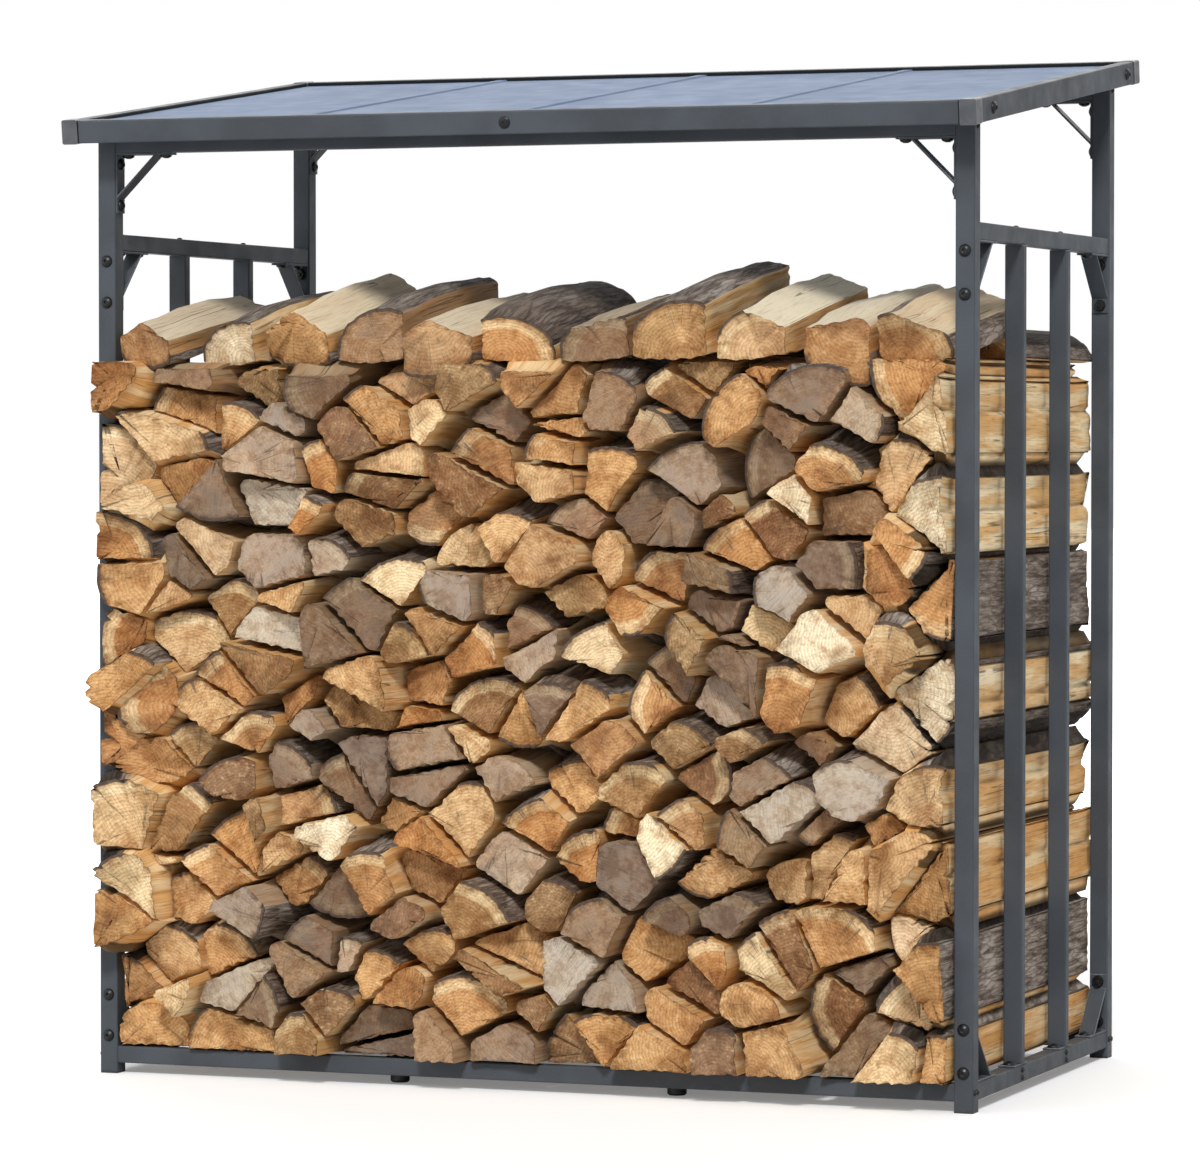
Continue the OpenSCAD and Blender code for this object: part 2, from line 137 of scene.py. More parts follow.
class FirewoodSettings(bpy.types.PropertyGroup):
    cream: colour_property("Cream wood", "Fresh sapwood, almost white", (250, 238, 208))
    pale: colour_property("Pale wood", "Palest fresh wood", (246, 224, 180))
    tan: colour_property("Tan wood", "Usual colour of the cut ends", (222, 183, 132))
    ochre: colour_property("Ochre wood", "Warmest cut ends", (210, 161, 104))
    olive: colour_property("Olive wood", "Cut ends gone dull", (176, 146, 104))
    brown: colour_property("Brown wood", "Darkest fresh wood", (152, 118, 88))
    silvered: colour_property("Silvered wood", "Palest weathered wood", (176, 166, 155))
    weathered: colour_property("Weathered wood", "Wood gone grey in the weather", (136, 120, 106))
    weathered_dark: colour_property("Weathered, dark", "Darkest weathered wood", (98, 83, 73))
    bark_dark: colour_property("Bark, dark", "Furrows of the bark", (80, 68, 60))
    bark: colour_property("Bark", "Ridges of the bark", (172, 157, 143))
    bark_grey: colour_property("Bark, grey", "Grey plates on the bark", (204, 196, 186))
    seed: IntProperty(name="Seed", description="Picks other grain, tapers and end cuts", default=5, min=0)
    weathered_share: share_property("Weathered share", "Share of the logs that have gone grey", 0.33)
    ring_spacing: length_property("Outline spacing", "Distance between points along a log's outline", 0.0058)


class StageSettings(bpy.types.PropertyGroup):
    floor: colour_property("Floor", "Colour of the studio floor", (243, 243, 242))
    key: FloatProperty(name="Key light", description="Strength of the key light", default=2.4, min=0)
    fill: FloatProperty(name="Fill light", description="Strength of the fill light", default=0.85, min=0)
    back: FloatProperty(name="Back light", description="Strength of the light behind", default=1.0, min=0)
    sky: FloatProperty(name="Sky", description="Strength of the even light all round", default=0.38, min=0)
    lens: FloatProperty(
        name="Lens", description="Focal length on a 36 mm frame", unit="CAMERA", default=158.5, min=1)


class LogStoreSettings(bpy.types.PropertyGroup):
    steel: PointerProperty(type=SteelSettings, name="Steel", description="Powder-coated steel")
    roof: PointerProperty(type=RoofSettings, name="Roof", description="Roof sheets and plastic parts")
    fasteners: PointerProperty(type=FastenerSettings, name="Fasteners", description="Bolts, nuts and screws")
    firewood: PointerProperty(type=FirewoodSettings, name="Firewood", description="Split logs")
    stage: PointerProperty(type=StageSettings, name="Stage", description="Floor, lights and camera")


# Materials


class Finish:
    """A node material that is built up one node at a time."""

    def __init__(self, name):
        self.material = bpy.data.materials.new(name)
        self.material.use_nodes = True
        self.tree = self.material.node_tree
        self.shader = self.tree.nodes["Principled BSDF"]

    def node(self, kind, inputs=None, **settings):
        made = self.tree.nodes.new(kind)
        for key, value in settings.items():
            setattr(made, key, value)
        for key, value in (inputs or {}).items():
            self.put(made.inputs[key], value)
        return made

    def put(self, socket, value):
        if isinstance(value, bpy.types.NodeSocket):
            self.tree.links.new(value, socket)
        elif socket.type == "RGBA" and len(value) == 3:
            socket.default_value = (*value, 1)
        else:
            socket.default_value = value

    def set(self, **inputs):
        for key, value in inputs.items():
            self.put(self.shader.inputs[key.replace("_", " ")], value)

    def math(self, operation, a, b=0.0, clamp=False):
        return self.node("ShaderNodeMath", {0: a, 1: b}, operation=operation, use_clamp=clamp).outputs[0]

    def times(self, a, b):
        return self.math("MULTIPLY", a, b)

    def vector_math(self, operation, a, b):
        return self.node("ShaderNodeVectorMath", {0: a, 1: b}, operation=operation)

    def step(self, value, low, high, to_low=0.0, to_high=1.0):
        """Smooth step of a value between two limits."""
        made = self.node("ShaderNodeMapRange", {0: value, 1: low, 2: high, 3: to_low, 4: to_high},
                         interpolation_type="SMOOTHSTEP")
        return made.outputs[0]

    def noise(self, vector, scale, detail=3.0, roughness=0.55, distortion=0.0):
        return self.node("ShaderNodeTexNoise", {
            "Vector": vector, "Scale": scale, "Detail": detail, "Roughness": roughness,
            "Distortion": distortion}).outputs["Fac"]

    def noisy(self, vector, scale, detail, *limits):
        """Smooth step of a noise between two limits."""
        return self.step(self.noise(vector, scale, detail), *limits)

    def mix(self, factor, a, b, blend="MIX"):
        made = self.node("ShaderNodeMix", data_type="RGBA", blend_type=blend)
        for socket, value in zip((made.inputs[0], made.inputs[6], made.inputs[7]), (factor, a, b)):
            self.put(socket, value)
        return made.outputs[2]

    def ramp(self, value, stops, interpolation="LINEAR"):
        made = self.node("ShaderNodeValToRGB", {0: value})
        elements = made.color_ramp.elements
        made.color_ramp.interpolation = interpolation
        while len(elements) < len(stops):
            elements.new(1)
        for element, (place, colour) in zip(elements, stops):
            element.position = place
            element.color = (*colour, 1)
        return made.outputs[0]

    def stretched(self, vector, scale):
        return self.vector_math("MULTIPLY", vector, scale).outputs[0]

    def bump(self, height, strength, distance, under=None):
        made = self.node("ShaderNodeBump", {"Strength": strength, "Distance": distance, "Height": height})
        if under is not None:
            self.put(made.inputs["Normal"], under)
        return made.outputs[0]

    def place(self):
        return self.node("ShaderNodeTexCoord").outputs["Object"]

    def attribute(self, name):
        return self.node("ShaderNodeAttribute", attribute_name=name).outputs

    def part(self, vector, axis):
        """One coordinate of a vector."""
        return self.node("ShaderNodeSeparateXYZ", {0: vector}).outputs[axis]

    def rounded(self, radius):
        """Normal of a part whose edges are rounded."""
        return self.node("ShaderNodeBevel", {"Radius": radius}, samples=4).outputs[0]

    def edges(self, rounded):
        """1 along the edges of a part, 0 on its faces."""
        true = self.node("ShaderNodeNewGeometry").outputs["True Normal"]
        flat = self.vector_math("DOT_PRODUCT", rounded, true).outputs["Value"]
        return self.step(flat, 0.97, 0.75)

    def painted_beam_shade(self, at, side):
        """1 on the side of a roof beam that stands above the sheets, where painted shade goes."""
        normal = self.node("ShaderNodeNewGeometry").outputs["Normal"]
        towards = self.vector_math("DOT_PRODUCT", normal, side).outputs["Value"]
        lift = (0, -math.sin(roof_slope()), math.cos(roof_slope()))
        sheet_top = Vector(lift).dot(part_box("roof_sheet_left")[1])
        above = self.math("SUBTRACT", self.vector_math("DOT_PRODUCT", at, lift).outputs["Value"], sheet_top)
        return self.times(self.step(towards, 0.6, 0.8), self.step(above, -0.0012, -0.0004))

    def facing_up(self, low=0.6, high=0.95):
        normal = self.node("ShaderNodeNewGeometry").outputs["Normal"]
        return self.step(self.part(normal, "Z"), low, high)


# Where the painted shade in the seam beside a beam's cap starts and is full, in from the end of the beam
SEAM = (0.0024, 0.0014)


def powder_coat(name, look, shade_side=None, highlight_share=0.75, edge_w=0.0018, seam=None):
    """Powder coat with a painted highlight on the edges that look up; a roof beam also has painted shade on
    its side beside the sheets and in the seam at its caps.
    """
    finish = Finish(name)
    at = finish.place()
    cloudy = finish.noise(at, 9, 3)
    speckle = finish.noise(at, 900, 1)
    colour = finish.mix(finish.step(cloudy, 0.35, 0.65), look.coat, look.coat_dark)
    colour = finish.mix(finish.step(speckle, 0.62, 0.8, 0, 0.35), colour, look.worn_edge)
    dusty = finish.times(finish.facing_up(), finish.noisy(at, 40, 3, 0.35, 0.7, 0.1, 0.5))
    colour = finish.mix(dusty, colour, look.dust)
    rounded = finish.rounded(edge_w)
    edges = finish.edges(rounded)
    rubbed = finish.times(edges, finish.noisy(at, 55, 3, 0.4, 0.7, 0.12, 0.75))
    colour = finish.mix(rubbed, colour, look.worn_edge)
    # Painted highlight on the edges that look up
    painted_highlight_mask = finish.times(edges, finish.step(finish.part(rounded, "Z"), 0.2, 0.5, 0, highlight_share))
    colour = finish.mix(painted_highlight_mask, colour, look.painted_highlight)
    if shade_side:
        # Painted shade on the side of the beam above the sheets
        colour = finish.mix(finish.painted_beam_shade(at, shade_side), colour, look.painted_beam_shade)
    # Painted shade in the seam beside the cap
    if seam:
        along = finish.math("ABSOLUTE", finish.part(at, "X"))
        start, full = SEAM
        colour = finish.mix(finish.step(along, seam - start, seam - full, 0, 0.9), colour, look.painted_beam_shade)
    grain = finish.bump(finish.noise(at, 1500, 1), 0.16, 0.0004, rounded)
    finish.set(Base_Color=colour, Normal=finish.bump(finish.noise(at, 260, 1), 0.05, 0.001, grain))
    finish.set(Roughness=finish.noisy(at, 30, 3, 0.2, 0.8, look.roughness - 0.09, look.roughness + 0.11))
    finish.set(Specular_IOR_Level=0.12)
    return finish.material


def roof_sheet_finish(look):
    finish = Finish("roof_sheet_coat")
    at = finish.place()
    colour = finish.mix(finish.noisy(at, 5, 4, 0.35, 0.68), look.sheet, look.sheet_shade)
    streaks = finish.noise(finish.stretched(at, (90, 3, 3)), 1, 4)
    colour = finish.mix(finish.step(streaks, 0.55, 0.8, 0, 0.4), colour, look.streak)
    specks = finish.noise(at, 420, 2)
    colour = finish.mix(finish.step(specks, 0.66, 0.8, 0, 0.3), colour, look.sheet_shade)
    rubbed = finish.times(finish.edges(finish.rounded(0.0012)), 0.6)
    colour = finish.mix(rubbed, colour, look.streak)
    waves = finish.bump(finish.noise(finish.stretched(at, (4, 9, 4)), 1, 2), 0.25, 0.004)
    grain = finish.bump(finish.noise(at, 800, 2), 0.08, 0.0004, waves)
    finish.set(Base_Color=colour, Normal=grain, Specular_IOR_Level=0.04)
    finish.set(Roughness=finish.noisy(at, 24, 5, 0.25, 0.75, 0.45, 0.6))
    return finish.material


def moulded_plastic(name, colour, rubbed_colour, roughness):
    finish = Finish(name)
    at = finish.place()
    tone = finish.mix(finish.noisy(at, 35, 4, 0.35, 0.7, 0, 0.35), colour, rubbed_colour)
    edges = finish.edges(finish.rounded(0.0018))
    scuffs = finish.times(edges, finish.noisy(at, 120, 4, 0.35, 0.7, 0.1, 0.6))
    tone = finish.mix(scuffs, tone, rubbed_colour)
    finish.set(Base_Color=tone, Normal=finish.bump(finish.noise(at, 1100, 2), 0.22, 0.0004))
    finish.set(Roughness=finish.noisy(at, 60, 4, 0.25, 0.75, roughness - 0.08, roughness + 0.12))
    return finish.material


def black_steel(look):
    finish = Finish("black_steel")
    at = finish.place()
    rubbed_colour = linear(92, 93, 96)
    edges = finish.edges(finish.rounded(0.0009))
    rubbed = finish.times(edges, finish.noisy(at, 260, 4, 0.35, 0.7, 0.05, 0.5))
    finish.set(Base_Color=finish.mix(rubbed, look.steel, rubbed_colour), Metallic=0.5)
    finish.set(Normal=finish.bump(finish.noise(at, 1800, 2), 0.12, 0.0003))
    finish.set(Roughness=finish.noisy(at, 300, 4, 0.25, 0.75, 0.28, 0.46))
    return finish.material


# Tints that darken wood, as the shares of red, green and blue that are left
STAIN_TINT = (0.5, 0.45, 0.37)
BLOTCH_TINT = (0.62, 0.47, 0.34)
HEARTWOOD_TINT = (0.78, 0.6, 0.46)
HEART_TINT = (0.72, 0.52, 0.38)
RING_TINT = (0.66, 0.55, 0.45)
RAY_TINT = (0.6, 0.5, 0.42)
MOTTLE_TINT = (0.46, 0.39, 0.33)
FINE_TINT = (0.44, 0.37, 0.31)
SAW_TINT = (0.5, 0.44, 0.39)
RIM_TINT = (0.62, 0.5, 0.4)
RIMWARD_TINT = (0.42, 0.36, 0.31)
BAND_TINT = (0.8, 0.55, 0.3)
FIBRE_TINT = (0.52, 0.4, 0.29)
PATCH_TINT = (0.7, 0.55, 0.4)
HAIR_TINT = (0.5, 0.4, 0.31)
RUDDY_TINT = (1.0, 0.8, 0.64)
DARK_BARK_TINT = (0.5, 0.47, 0.45)
GREY_TINT = (0.58, 0.54, 0.51)
# Painted shade in the joints of the side walls
JOINT_SHADE_TINT = (0.14, 0.12, 0.1)

GRAIN_SHIFT = (7.31, 11.7, 5.13)
BARK_R_SCALE = 0.2


class WoodFinish(Finish):
    """A finish that follows a log's own grain: across it from the pith, and along it."""

    def __init__(self, name, look):
        super().__init__(name)
        self.look = look
        self.grain = self.attribute("grain")["Vector"]
        traits = self.attribute("log_traits")
        parts = self.node("ShaderNodeSeparateColor", {0: traits["Color"]})
        self.tone, self.weather, self.bark_r = parts.outputs
        self.seed = traits["Alpha"]
        shift = self.node("ShaderNodeCombineXYZ", {
            axis: self.times(self.seed, step) for axis, step in zip("XYZ", GRAIN_SHIFT)}).outputs[0]
        self.own = self.vector_math("ADD", self.grain, shift).outputs[0]

    def wood_tone(self):
        look = self.look
        return self.ramp(self.tone, (
            (0.0, look.cream), (0.08, look.pale), (0.22, look.tan), (0.42, look.ochre), (0.6, look.tan),
            (0.8, look.olive), (1.0, look.brown)))

    def darker(self, colour, tint, share):
        """The colour, darkened by a tint; this carries stains and also painted shade."""
        return self.mix(share, colour, self.mix(1.0, colour, tint, "MULTIPLY"))

    def painted_joint_shade(self, colour):
        """Painted shade in the joints of the side walls."""
        joint = self.attribute("joint")["Fac"]
        return self.darker(colour, JOINT_SHADE_TINT, self.step(joint, 0.3, 0.9, 0, 0.95))

    def own_share(self, turns, low, high, *levels):
        """A share that differs from log to log."""
        return self.step(self.math("FRACT", self.times(self.seed, turns)), low, high, *levels)

    def weathered(self, colour, share, patches):
        """Fresh wood gone grey, by the log's own weathering."""
        look = self.look
        grey = self.ramp(self.tone, (
            (0.0, look.silvered), (0.3, look.weathered), (0.7, look.weathered_dark), (1.0, look.weathered)))
        grey = self.darker(grey, GREY_TINT, self.step(patches, 0.38, 0.7, 0, 0.85))
        return self.mix(self.times(self.weather, share), colour, grey)


def end_grain_finish(look):
    finish = WoodFinish("log_end_grain", look)
    across = finish.stretched(finish.grain, (1, 1, 0))
    radius = finish.vector_math("LENGTH", across, (0, 0, 0)).outputs["Value"]
    stain = finish.noise(finish.own, 13, 3)
    blotch = finish.noise(finish.own, 34, 4, 0.62)
    mottle = finish.noise(finish.own, 125, 3, 0.65)
    fine = finish.noise(finish.own, 330, 2, 0.65)
    rings = finish.node("ShaderNodeTexWave", {
        "Vector": across, "Scale": 66, "Distortion": 3.6, "Detail": 3, "Detail Scale": 1.6},
        wave_type="RINGS", rings_direction="Z", wave_profile="SAW").outputs["Fac"]
    heading = finish.vector_math("NORMALIZE", across, (0, 0, 0)).outputs[0]
    round_pith = finish.vector_math("ADD", heading, finish.stretched(finish.own, (0.6, 0.6, 0))).outputs[0]
    rays = finish.noise(round_pith, 14, 2, 0.6)
    checks = finish.noise(round_pith, 4.5, 2, 0.4)
    line = finish.step(finish.math("ABSOLUTE", finish.math("SUBTRACT", checks, 0.5)), 0.009, 0.0)
    broken = finish.times(finish.step(radius, 0.004, 0.022), finish.step(stain, 0.48, 0.56))
    check = finish.times(line, broken)
    turned = finish.node("ShaderNodeVectorRotate", {"Vector": finish.own, "Angle": finish.seed},
                         rotation_type="Z_AXIS").outputs[0]
    saw = finish.noise(finish.stretched(turned, (30, 560, 0)), 1, 2, 0.6)
    sawn = finish.own_share(3.7, 0.4, 0.7, 0.12, 0.75)
    saw_mark = finish.times(sawn, finish.step(saw, 0.46, 0.68))

    colour = finish.wood_tone()
    colour = finish.mix(finish.step(mottle, 0.46, 0.3, 0, 0.35), colour, look.pale)
    rim = finish.math("SUBTRACT", finish.times(finish.bark_r, BARK_R_SCALE), radius)
    rim = finish.math("ADD", rim, finish.times(finish.math("SUBTRACT", blotch, 0.5), 0.006))
    zoned = finish.own_share(5.3, 0.35, 0.6)
    colour = finish.mix(finish.times(zoned, finish.step(rim, 0.024, 0.018, 0, 0.55)), colour, look.pale)
    inside = finish.times(zoned, finish.step(rim, 0.018, 0.022, 0, 0.6))
    colour = finish.darker(colour, HEARTWOOD_TINT, inside)
    colour = finish.darker(colour, STAIN_TINT, finish.step(stain, 0.42, 0.68, 0, 0.85))
    colour = finish.darker(colour, BLOTCH_TINT, finish.step(blotch, 0.44, 0.66, 0, 0.7))
    heart = finish.times(finish.step(radius, 0.055, 0.012), finish.step(stain, 0.4, 0.62, 0, 0.5))
    colour = finish.darker(colour, HEART_TINT, heart)
    colour = finish.darker(colour, RING_TINT, finish.step(rings, 0.25, 1.0, 0, 0.6))
    colour = finish.darker(colour, RAY_TINT, finish.step(rays, 0.5, 0.72, 0, 0.35))
    colour = finish.darker(colour, MOTTLE_TINT, finish.step(mottle, 0.48, 0.68, 0, 0.42))
    colour = finish.darker(colour, FINE_TINT, finish.step(fine, 0.5, 0.7, 0, 0.5))
    worn = finish.math("ADD", blotch, finish.times(finish.math("SUBTRACT", mottle, 0.5), 0.5))
    colour = finish.weathered(colour, finish.step(blotch, 0.25, 0.6, 1.0, 0.75), worn)
    colour = finish.darker(colour, SAW_TINT, finish.times(saw_mark, 0.7))
    colour = finish.darker(colour, RIM_TINT, finish.step(rim, 0.011, 0.0055, 0, 0.5))
    colour = finish.mix(finish.step(rim, 0.0052, 0.0038, 0, 0.92), colour, look.bark_dark)
    # Darker in patches towards the rim of each cut end
    edge = finish.attribute("toward_rim")["Fac"]
    darker_towards_rim = finish.times(finish.step(edge, 0.7, 1.0), finish.step(mottle, 0.4, 0.62, 0.05, 0.6))
    colour = finish.darker(colour, RIMWARD_TINT, darker_towards_rim)
    colour = finish.mix(finish.times(check, 0.75), colour, look.bark_dark)

    relief = finish.bump(saw, finish.times(sawn, 0.5), 0.0008)
    relief = finish.bump(rings, 0.25, 0.0006, relief)
    relief = finish.bump(mottle, 0.4, 0.0012, relief)
    relief = finish.bump(fine, 0.7, 0.0006, relief)
    finish.set(Base_Color=colour, Normal=relief, Specular_IOR_Level=0.2)
    finish.set(Roughness=finish.step(fine, 0.3, 0.7, 0.74, 0.94))
    return finish.material


def split_face_finish(look):
    finish = WoodFinish("log_split_face", look)
    fibres = finish.noise(finish.stretched(finish.own, (1, 1, 0.05)), 210, 3, 0.65)
    bands = finish.noise(finish.stretched(finish.own, (1, 1, 0.09)), 42, 3, 0.6, 0.6)
    hairs = finish.noise(finish.stretched(finish.own, (1, 1, 0.035)), 640, 1, 0.6)
    patches = finish.noise(finish.own, 13, 3)
    splits = finish.noise(finish.stretched(finish.own, (1, 1, 0.018)), 44, 2, 0.5)
    crack = finish.step(finish.math("ABSOLUTE", finish.math("SUBTRACT", splits, 0.5)), 0.01, 0.003)
    crack = finish.times(crack, finish.step(patches, 0.45, 0.55))
    knots = finish.node("ShaderNodeTexVoronoi", {
        "Vector": finish.stretched(finish.own, (1, 1, 0.55)), "Scale": 11}).outputs["Distance"]
    knot = finish.step(knots, 0.11, 0.05)

    colour = finish.wood_tone()
    colour = finish.mix(0.6, colour, look.pale)
    colour = finish.darker(colour, BAND_TINT, finish.step(bands, 0.36, 0.58, 0, 0.9))
    colour = finish.darker(colour, FIBRE_TINT, finish.step(fibres, 0.52, 0.7, 0, 0.5))
    colour = finish.darker(colour, PATCH_TINT, finish.step(patches, 0.47, 0.7, 0, 0.28))
    # Painted light: split faces of the leaning logs that look up turn towards cream
    bleached = finish.times(finish.attribute("bleached")["Fac"], finish.facing_up(0.3, 0.7))
    colour = finish.mix(bleached, colour, look.cream)
    colour = finish.darker(colour, HAIR_TINT, finish.step(hairs, 0.52, 0.7, 0, 0.38))
    colour = finish.weathered(colour, finish.step(patches, 0.25, 0.6, 0.95, 0.7), fibres)
    colour = finish.mix(finish.times(knot, 0.75), colour, look.weathered_dark)
    colour = finish.mix(finish.times(crack, 0.7), colour, look.bark_dark)
    colour = finish.painted_joint_shade(colour)

    relief = finish.bump(bands, 0.5, 0.0016)
    relief = finish.bump(fibres, 0.65, 0.0009, relief)
    relief = finish.bump(hairs, 0.5, 0.0004, relief)
    finish.set(Base_Color=colour, Normal=relief, Specular_IOR_Level=0.2)
    finish.set(Roughness=finish.step(fibres, 0.3, 0.7, 0.7, 0.9))
    return finish.material


def bark_finish(look):
    finish = WoodFinish("log_bark", look)
    ridges = finish.noise(finish.stretched(finish.own, (1, 1, 0.09)), 165, 4, 0.7, 0.35)
    plates = finish.node("ShaderNodeTexVoronoi", {
        "Vector": finish.stretched(finish.own, (1, 1, 0.13)), "Scale": 120},
        feature="DISTANCE_TO_EDGE").outputs["Distance"]
    furrow = finish.step(plates, 0.0, 0.13)
    lichen = finish.noise(finish.stretched(finish.own, (1, 1, 0.35)), 40, 3, 0.6)
    fine = finish.noise(finish.own, 420, 2)

    colour = finish.mix(finish.step(ridges, 0.35, 0.68), look.bark_dark, look.bark)
    colour = finish.mix(finish.step(lichen, 0.48, 0.72, 0, 0.6), colour, look.bark_grey)
    ruddy = finish.step(finish.tone, 0.55, 0.9, 0, 0.55)
    colour = finish.darker(colour, RUDDY_TINT, ruddy)
    colour = finish.darker(colour, DARK_BARK_TINT, finish.own_share(2.9, 0.1, 0.9, 0, 0.85))
    colour = finish.mix(finish.step(furrow, 0.0, 1.0, 0.5, 0), colour, look.bark_dark)
    colour = finish.mix(finish.step(fine, 0.5, 0.75, 0, 0.35), colour, look.bark_dark)
    colour = finish.painted_joint_shade(colour)

    relief = finish.bump(furrow, 0.6, 0.0016)
    relief = finish.bump(ridges, 0.8, 0.0026, relief)
    relief = finish.bump(fine, 0.4, 0.0006, relief)
    finish.set(Base_Color=colour, Normal=relief, Specular_IOR_Level=0.2)
    finish.set(Roughness=finish.step(fine, 0.3, 0.7, 0.8, 0.97))
    return finish.material


# Building helpers


def settings():
    return bpy.context.scene.log_store


def paint(nodes, material):
    for name in nodes:
        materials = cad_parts[name].data.materials
        materials.clear()
        materials.append(material)


def make_piece(name, bm, materials, replaced=None):
    """Turns a bmesh into a piece of the object that rides on the frame."""
    mesh = bpy.data.meshes.new(name)
    bm.to_mesh(mesh)
    bm.free()
    for material in materials:
        mesh.materials.append(material)
    piece = bpy.data.objects.new(name, mesh)
    bpy.context.scene.collection.objects.link(piece)
    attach(piece, "root")
    if replaced:
        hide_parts(replaced)
    return piece


def standing_on(point, normal):
    """Matrix that puts a shape made along +Z at the origin onto a point of a face."""
    turn = Vector(normal).to_track_quat("Z", "Y").to_matrix().to_4x4()
    return Matrix.Translation(Vector(point)) @ turn


def linked_verts(start):
    """All vertices that edges link to some first ones."""
    reached, waiting = set(start), list(start)
    while waiting:
        for edge in waiting.pop().link_edges:
            for vert in edge.verts:
                if vert not in reached:
                    reached.add(vert)
                    waiting.append(vert)
    return reached


def spun_shape(bm, profile, steps, matrix):
    """Turns a profile of (radius, height) points round Z, closes its top, and puts it in place."""
    verts = [bm.verts.new((r, 0, z)) for r, z in profile]
    edges = [bm.edges.new(pair) for pair in zip(verts, verts[1:])]
    bmesh.ops.spin(
        bm, geom=verts + edges, cent=(0, 0, 0), axis=(0, 0, 1), angle=math.tau, steps=steps, use_merge=True)
    made = linked_verts(verts)
    faces = {face for vert in made for face in vert.link_faces}
    rims = [edge for edge in {e for v in made for e in v.link_edges} if edge.is_boundary]
    closed = bmesh.ops.holes_fill(bm, edges=rims, sides=0)["faces"]
    bmesh.ops.recalc_face_normals(bm, faces=list(faces) + closed)
    bmesh.ops.transform(bm, matrix=matrix, verts=list(made))
    return list(made)


# Operators


# Share of painted highlight on the edges that look up, and width of the edges, of the roof beams
FRONT_BEAM_EDGE = (0.95, 0.003)
OTHER_BEAM_EDGE = (0.2, 0.0018)


class LOGSTORE_OT_steel(bpy.types.Operator):
    """Powder coat on the posts, rails, slats, braces and beams"""
    bl_idname = "log_store.steel"
    bl_label = "Steel frame"

    def execute(self, context):
        look = settings().steel
        paint(STEEL_NODES, powder_coat("powder_coat", look))
        for node, side in BEAM_SHADE_SIDES.items():
            highlight_share, edge_w = FRONT_BEAM_EDGE if "front" in node else OTHER_BEAM_EDGE
            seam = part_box(node)[1].x if side[1] else None
            paint((node,), powder_coat(f"{node}_coat", look, side, highlight_share, edge_w, seam))
        return {"FINISHED"}


class LOGSTORE_OT_roof(bpy.types.Operator):
    """Coated roof sheets, their joint covers and the caps on the beam ends"""
    bl_idname = "log_store.roof"
    bl_label = "Roof sheets and caps"

    def execute(self, context):
        look = settings().roof
        paint(SHEET_NODES, roof_sheet_finish(look))
        paint(("roof_beam_caps",), moulded_plastic("cap_plastic", look.cap, linear(104, 106, 110), 0.4))
        return {"FINISHED"}


class LOGSTORE_OT_feet(bpy.types.Operator):
    """Plastic caps under the posts and round feet under the joists"""
    bl_idname = "log_store.feet"
    bl_label = "Feet"

    def execute(self, context):
        look = settings().roof
        paint(FOOT_NODES, moulded_plastic("foot_plastic", look.foot, linear(70, 70, 72), 0.5))
        return {"FINISHED"}


SHARP_EDGE = math.radians(35)
FLATTENED = Matrix.Diagonal((1, 1, 0.55, 1))
END_BEAM_HALF_D = 0.01
SLAT_BOLT_AHEAD = 0.0225
SCREW_SPREAD = 0.005
SCREW_BELOW_BEAM = 0.007


class LOGSTORE_OT_fasteners(bpy.types.Operator):
    """Bolts, nuts and small screws of the frame"""
    bl_idname = "log_store.fasteners"
    bl_label = "Fasteners"

    def execute(self, context):
        look = settings().fasteners
        bm = bmesh.new()
        kinds = (bolt_places(look), add_bolt), (nut_places(look), add_nut), (screw_places(), add_screw)
        for places, add in kinds:
            for point, normal in places:
                add(bm, look, standing_on(point, normal))
        for point, normal in end_beam_bolt_places():
            add_bolt(bm, look, standing_on(point, normal) @ FLATTENED)
        ease_edges(bm)
        steel = black_steel(look)
        make_piece("bolts_and_nuts", bm, [steel])
        bm = bmesh.new()
        for point, normal in roof_bolt_places():
            add_bolt(bm, look, standing_on(point, normal))
        ease_edges(bm)
        make_piece("roof_bolt_heads", bm, [steel], "roof_side_bolts")
        return {"FINISHED"}


def ease_edges(bm):
    """Smooth shading with sharp corners kept."""
    for face in bm.faces:
        face.smooth = True
    for edge in bm.edges:
        edge.smooth = edge.is_manifold and edge.calc_face_angle(0) < SHARP_EDGE


def roof_bolt_places():
    """Point and normal of the bolt heads on the side beams."""
    low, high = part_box("roof_side_bolts")
    r = (high.y - low.y - (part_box("rear_left_post")[0].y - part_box("front_left_post")[0].y)) / 2
    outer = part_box("roof_right_beam")[1].x
    for way in (-1, 1):
        yield (way * outer, low.y + r, low.z + r), (way, 0, 0)
        yield (way * outer, high.y - r, high.z - r), (way, 0, 0)


def end_beam_bolt_places():
    """Point and normal of the bolts that hold the middle rafter, on the front and rear beams."""
    slope = roof_slope()
    ahead = Vector((0, -math.cos(slope), -math.sin(slope)))
    for name, way in (("roof_front_beam", 1), ("roof_rear_beam", -1)):
        low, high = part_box(name)
        middle = (low + high) / 2
        yield middle + ahead * (way * END_BEAM_HALF_D), ahead * way


def roof_slope():
    low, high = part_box("roof_sheet_left")
    return math.atan2(high.z - low.z, high.y - low.y)


def add_bolt(bm, look, matrix):
    """Domed head with a hexagon socket."""
    r, h = look.head_d / 2, look.head_h
    socket_r, socket_depth = 0.36 * r, 0.5 * h
    dome = [(r * math.cos(a), 0.2 * h + 0.8 * h * math.sin(a)) for a in (0.0, 0.35, 0.7, 1.0)]
    profile = [(r, 0.0)] + dome + [(1.15 * socket_r, h), (socket_r, 0.94 * h), (socket_r, h - socket_depth)]
    verts = spun_shape(bm, profile, 24, Matrix.Identity(4))
    for vert in verts:
        reach = math.hypot(vert.co.x, vert.co.y)
        if reach < 1.05 * socket_r:
            sector = math.atan2(vert.co.y, vert.co.x) % (math.pi / 3) - math.pi / 6
            pull = math.cos(math.pi / 6) / math.cos(sector)
            vert.co.x *= pull
            vert.co.y *= pull
    bmesh.ops.transform(bm, matrix=matrix, verts=verts)


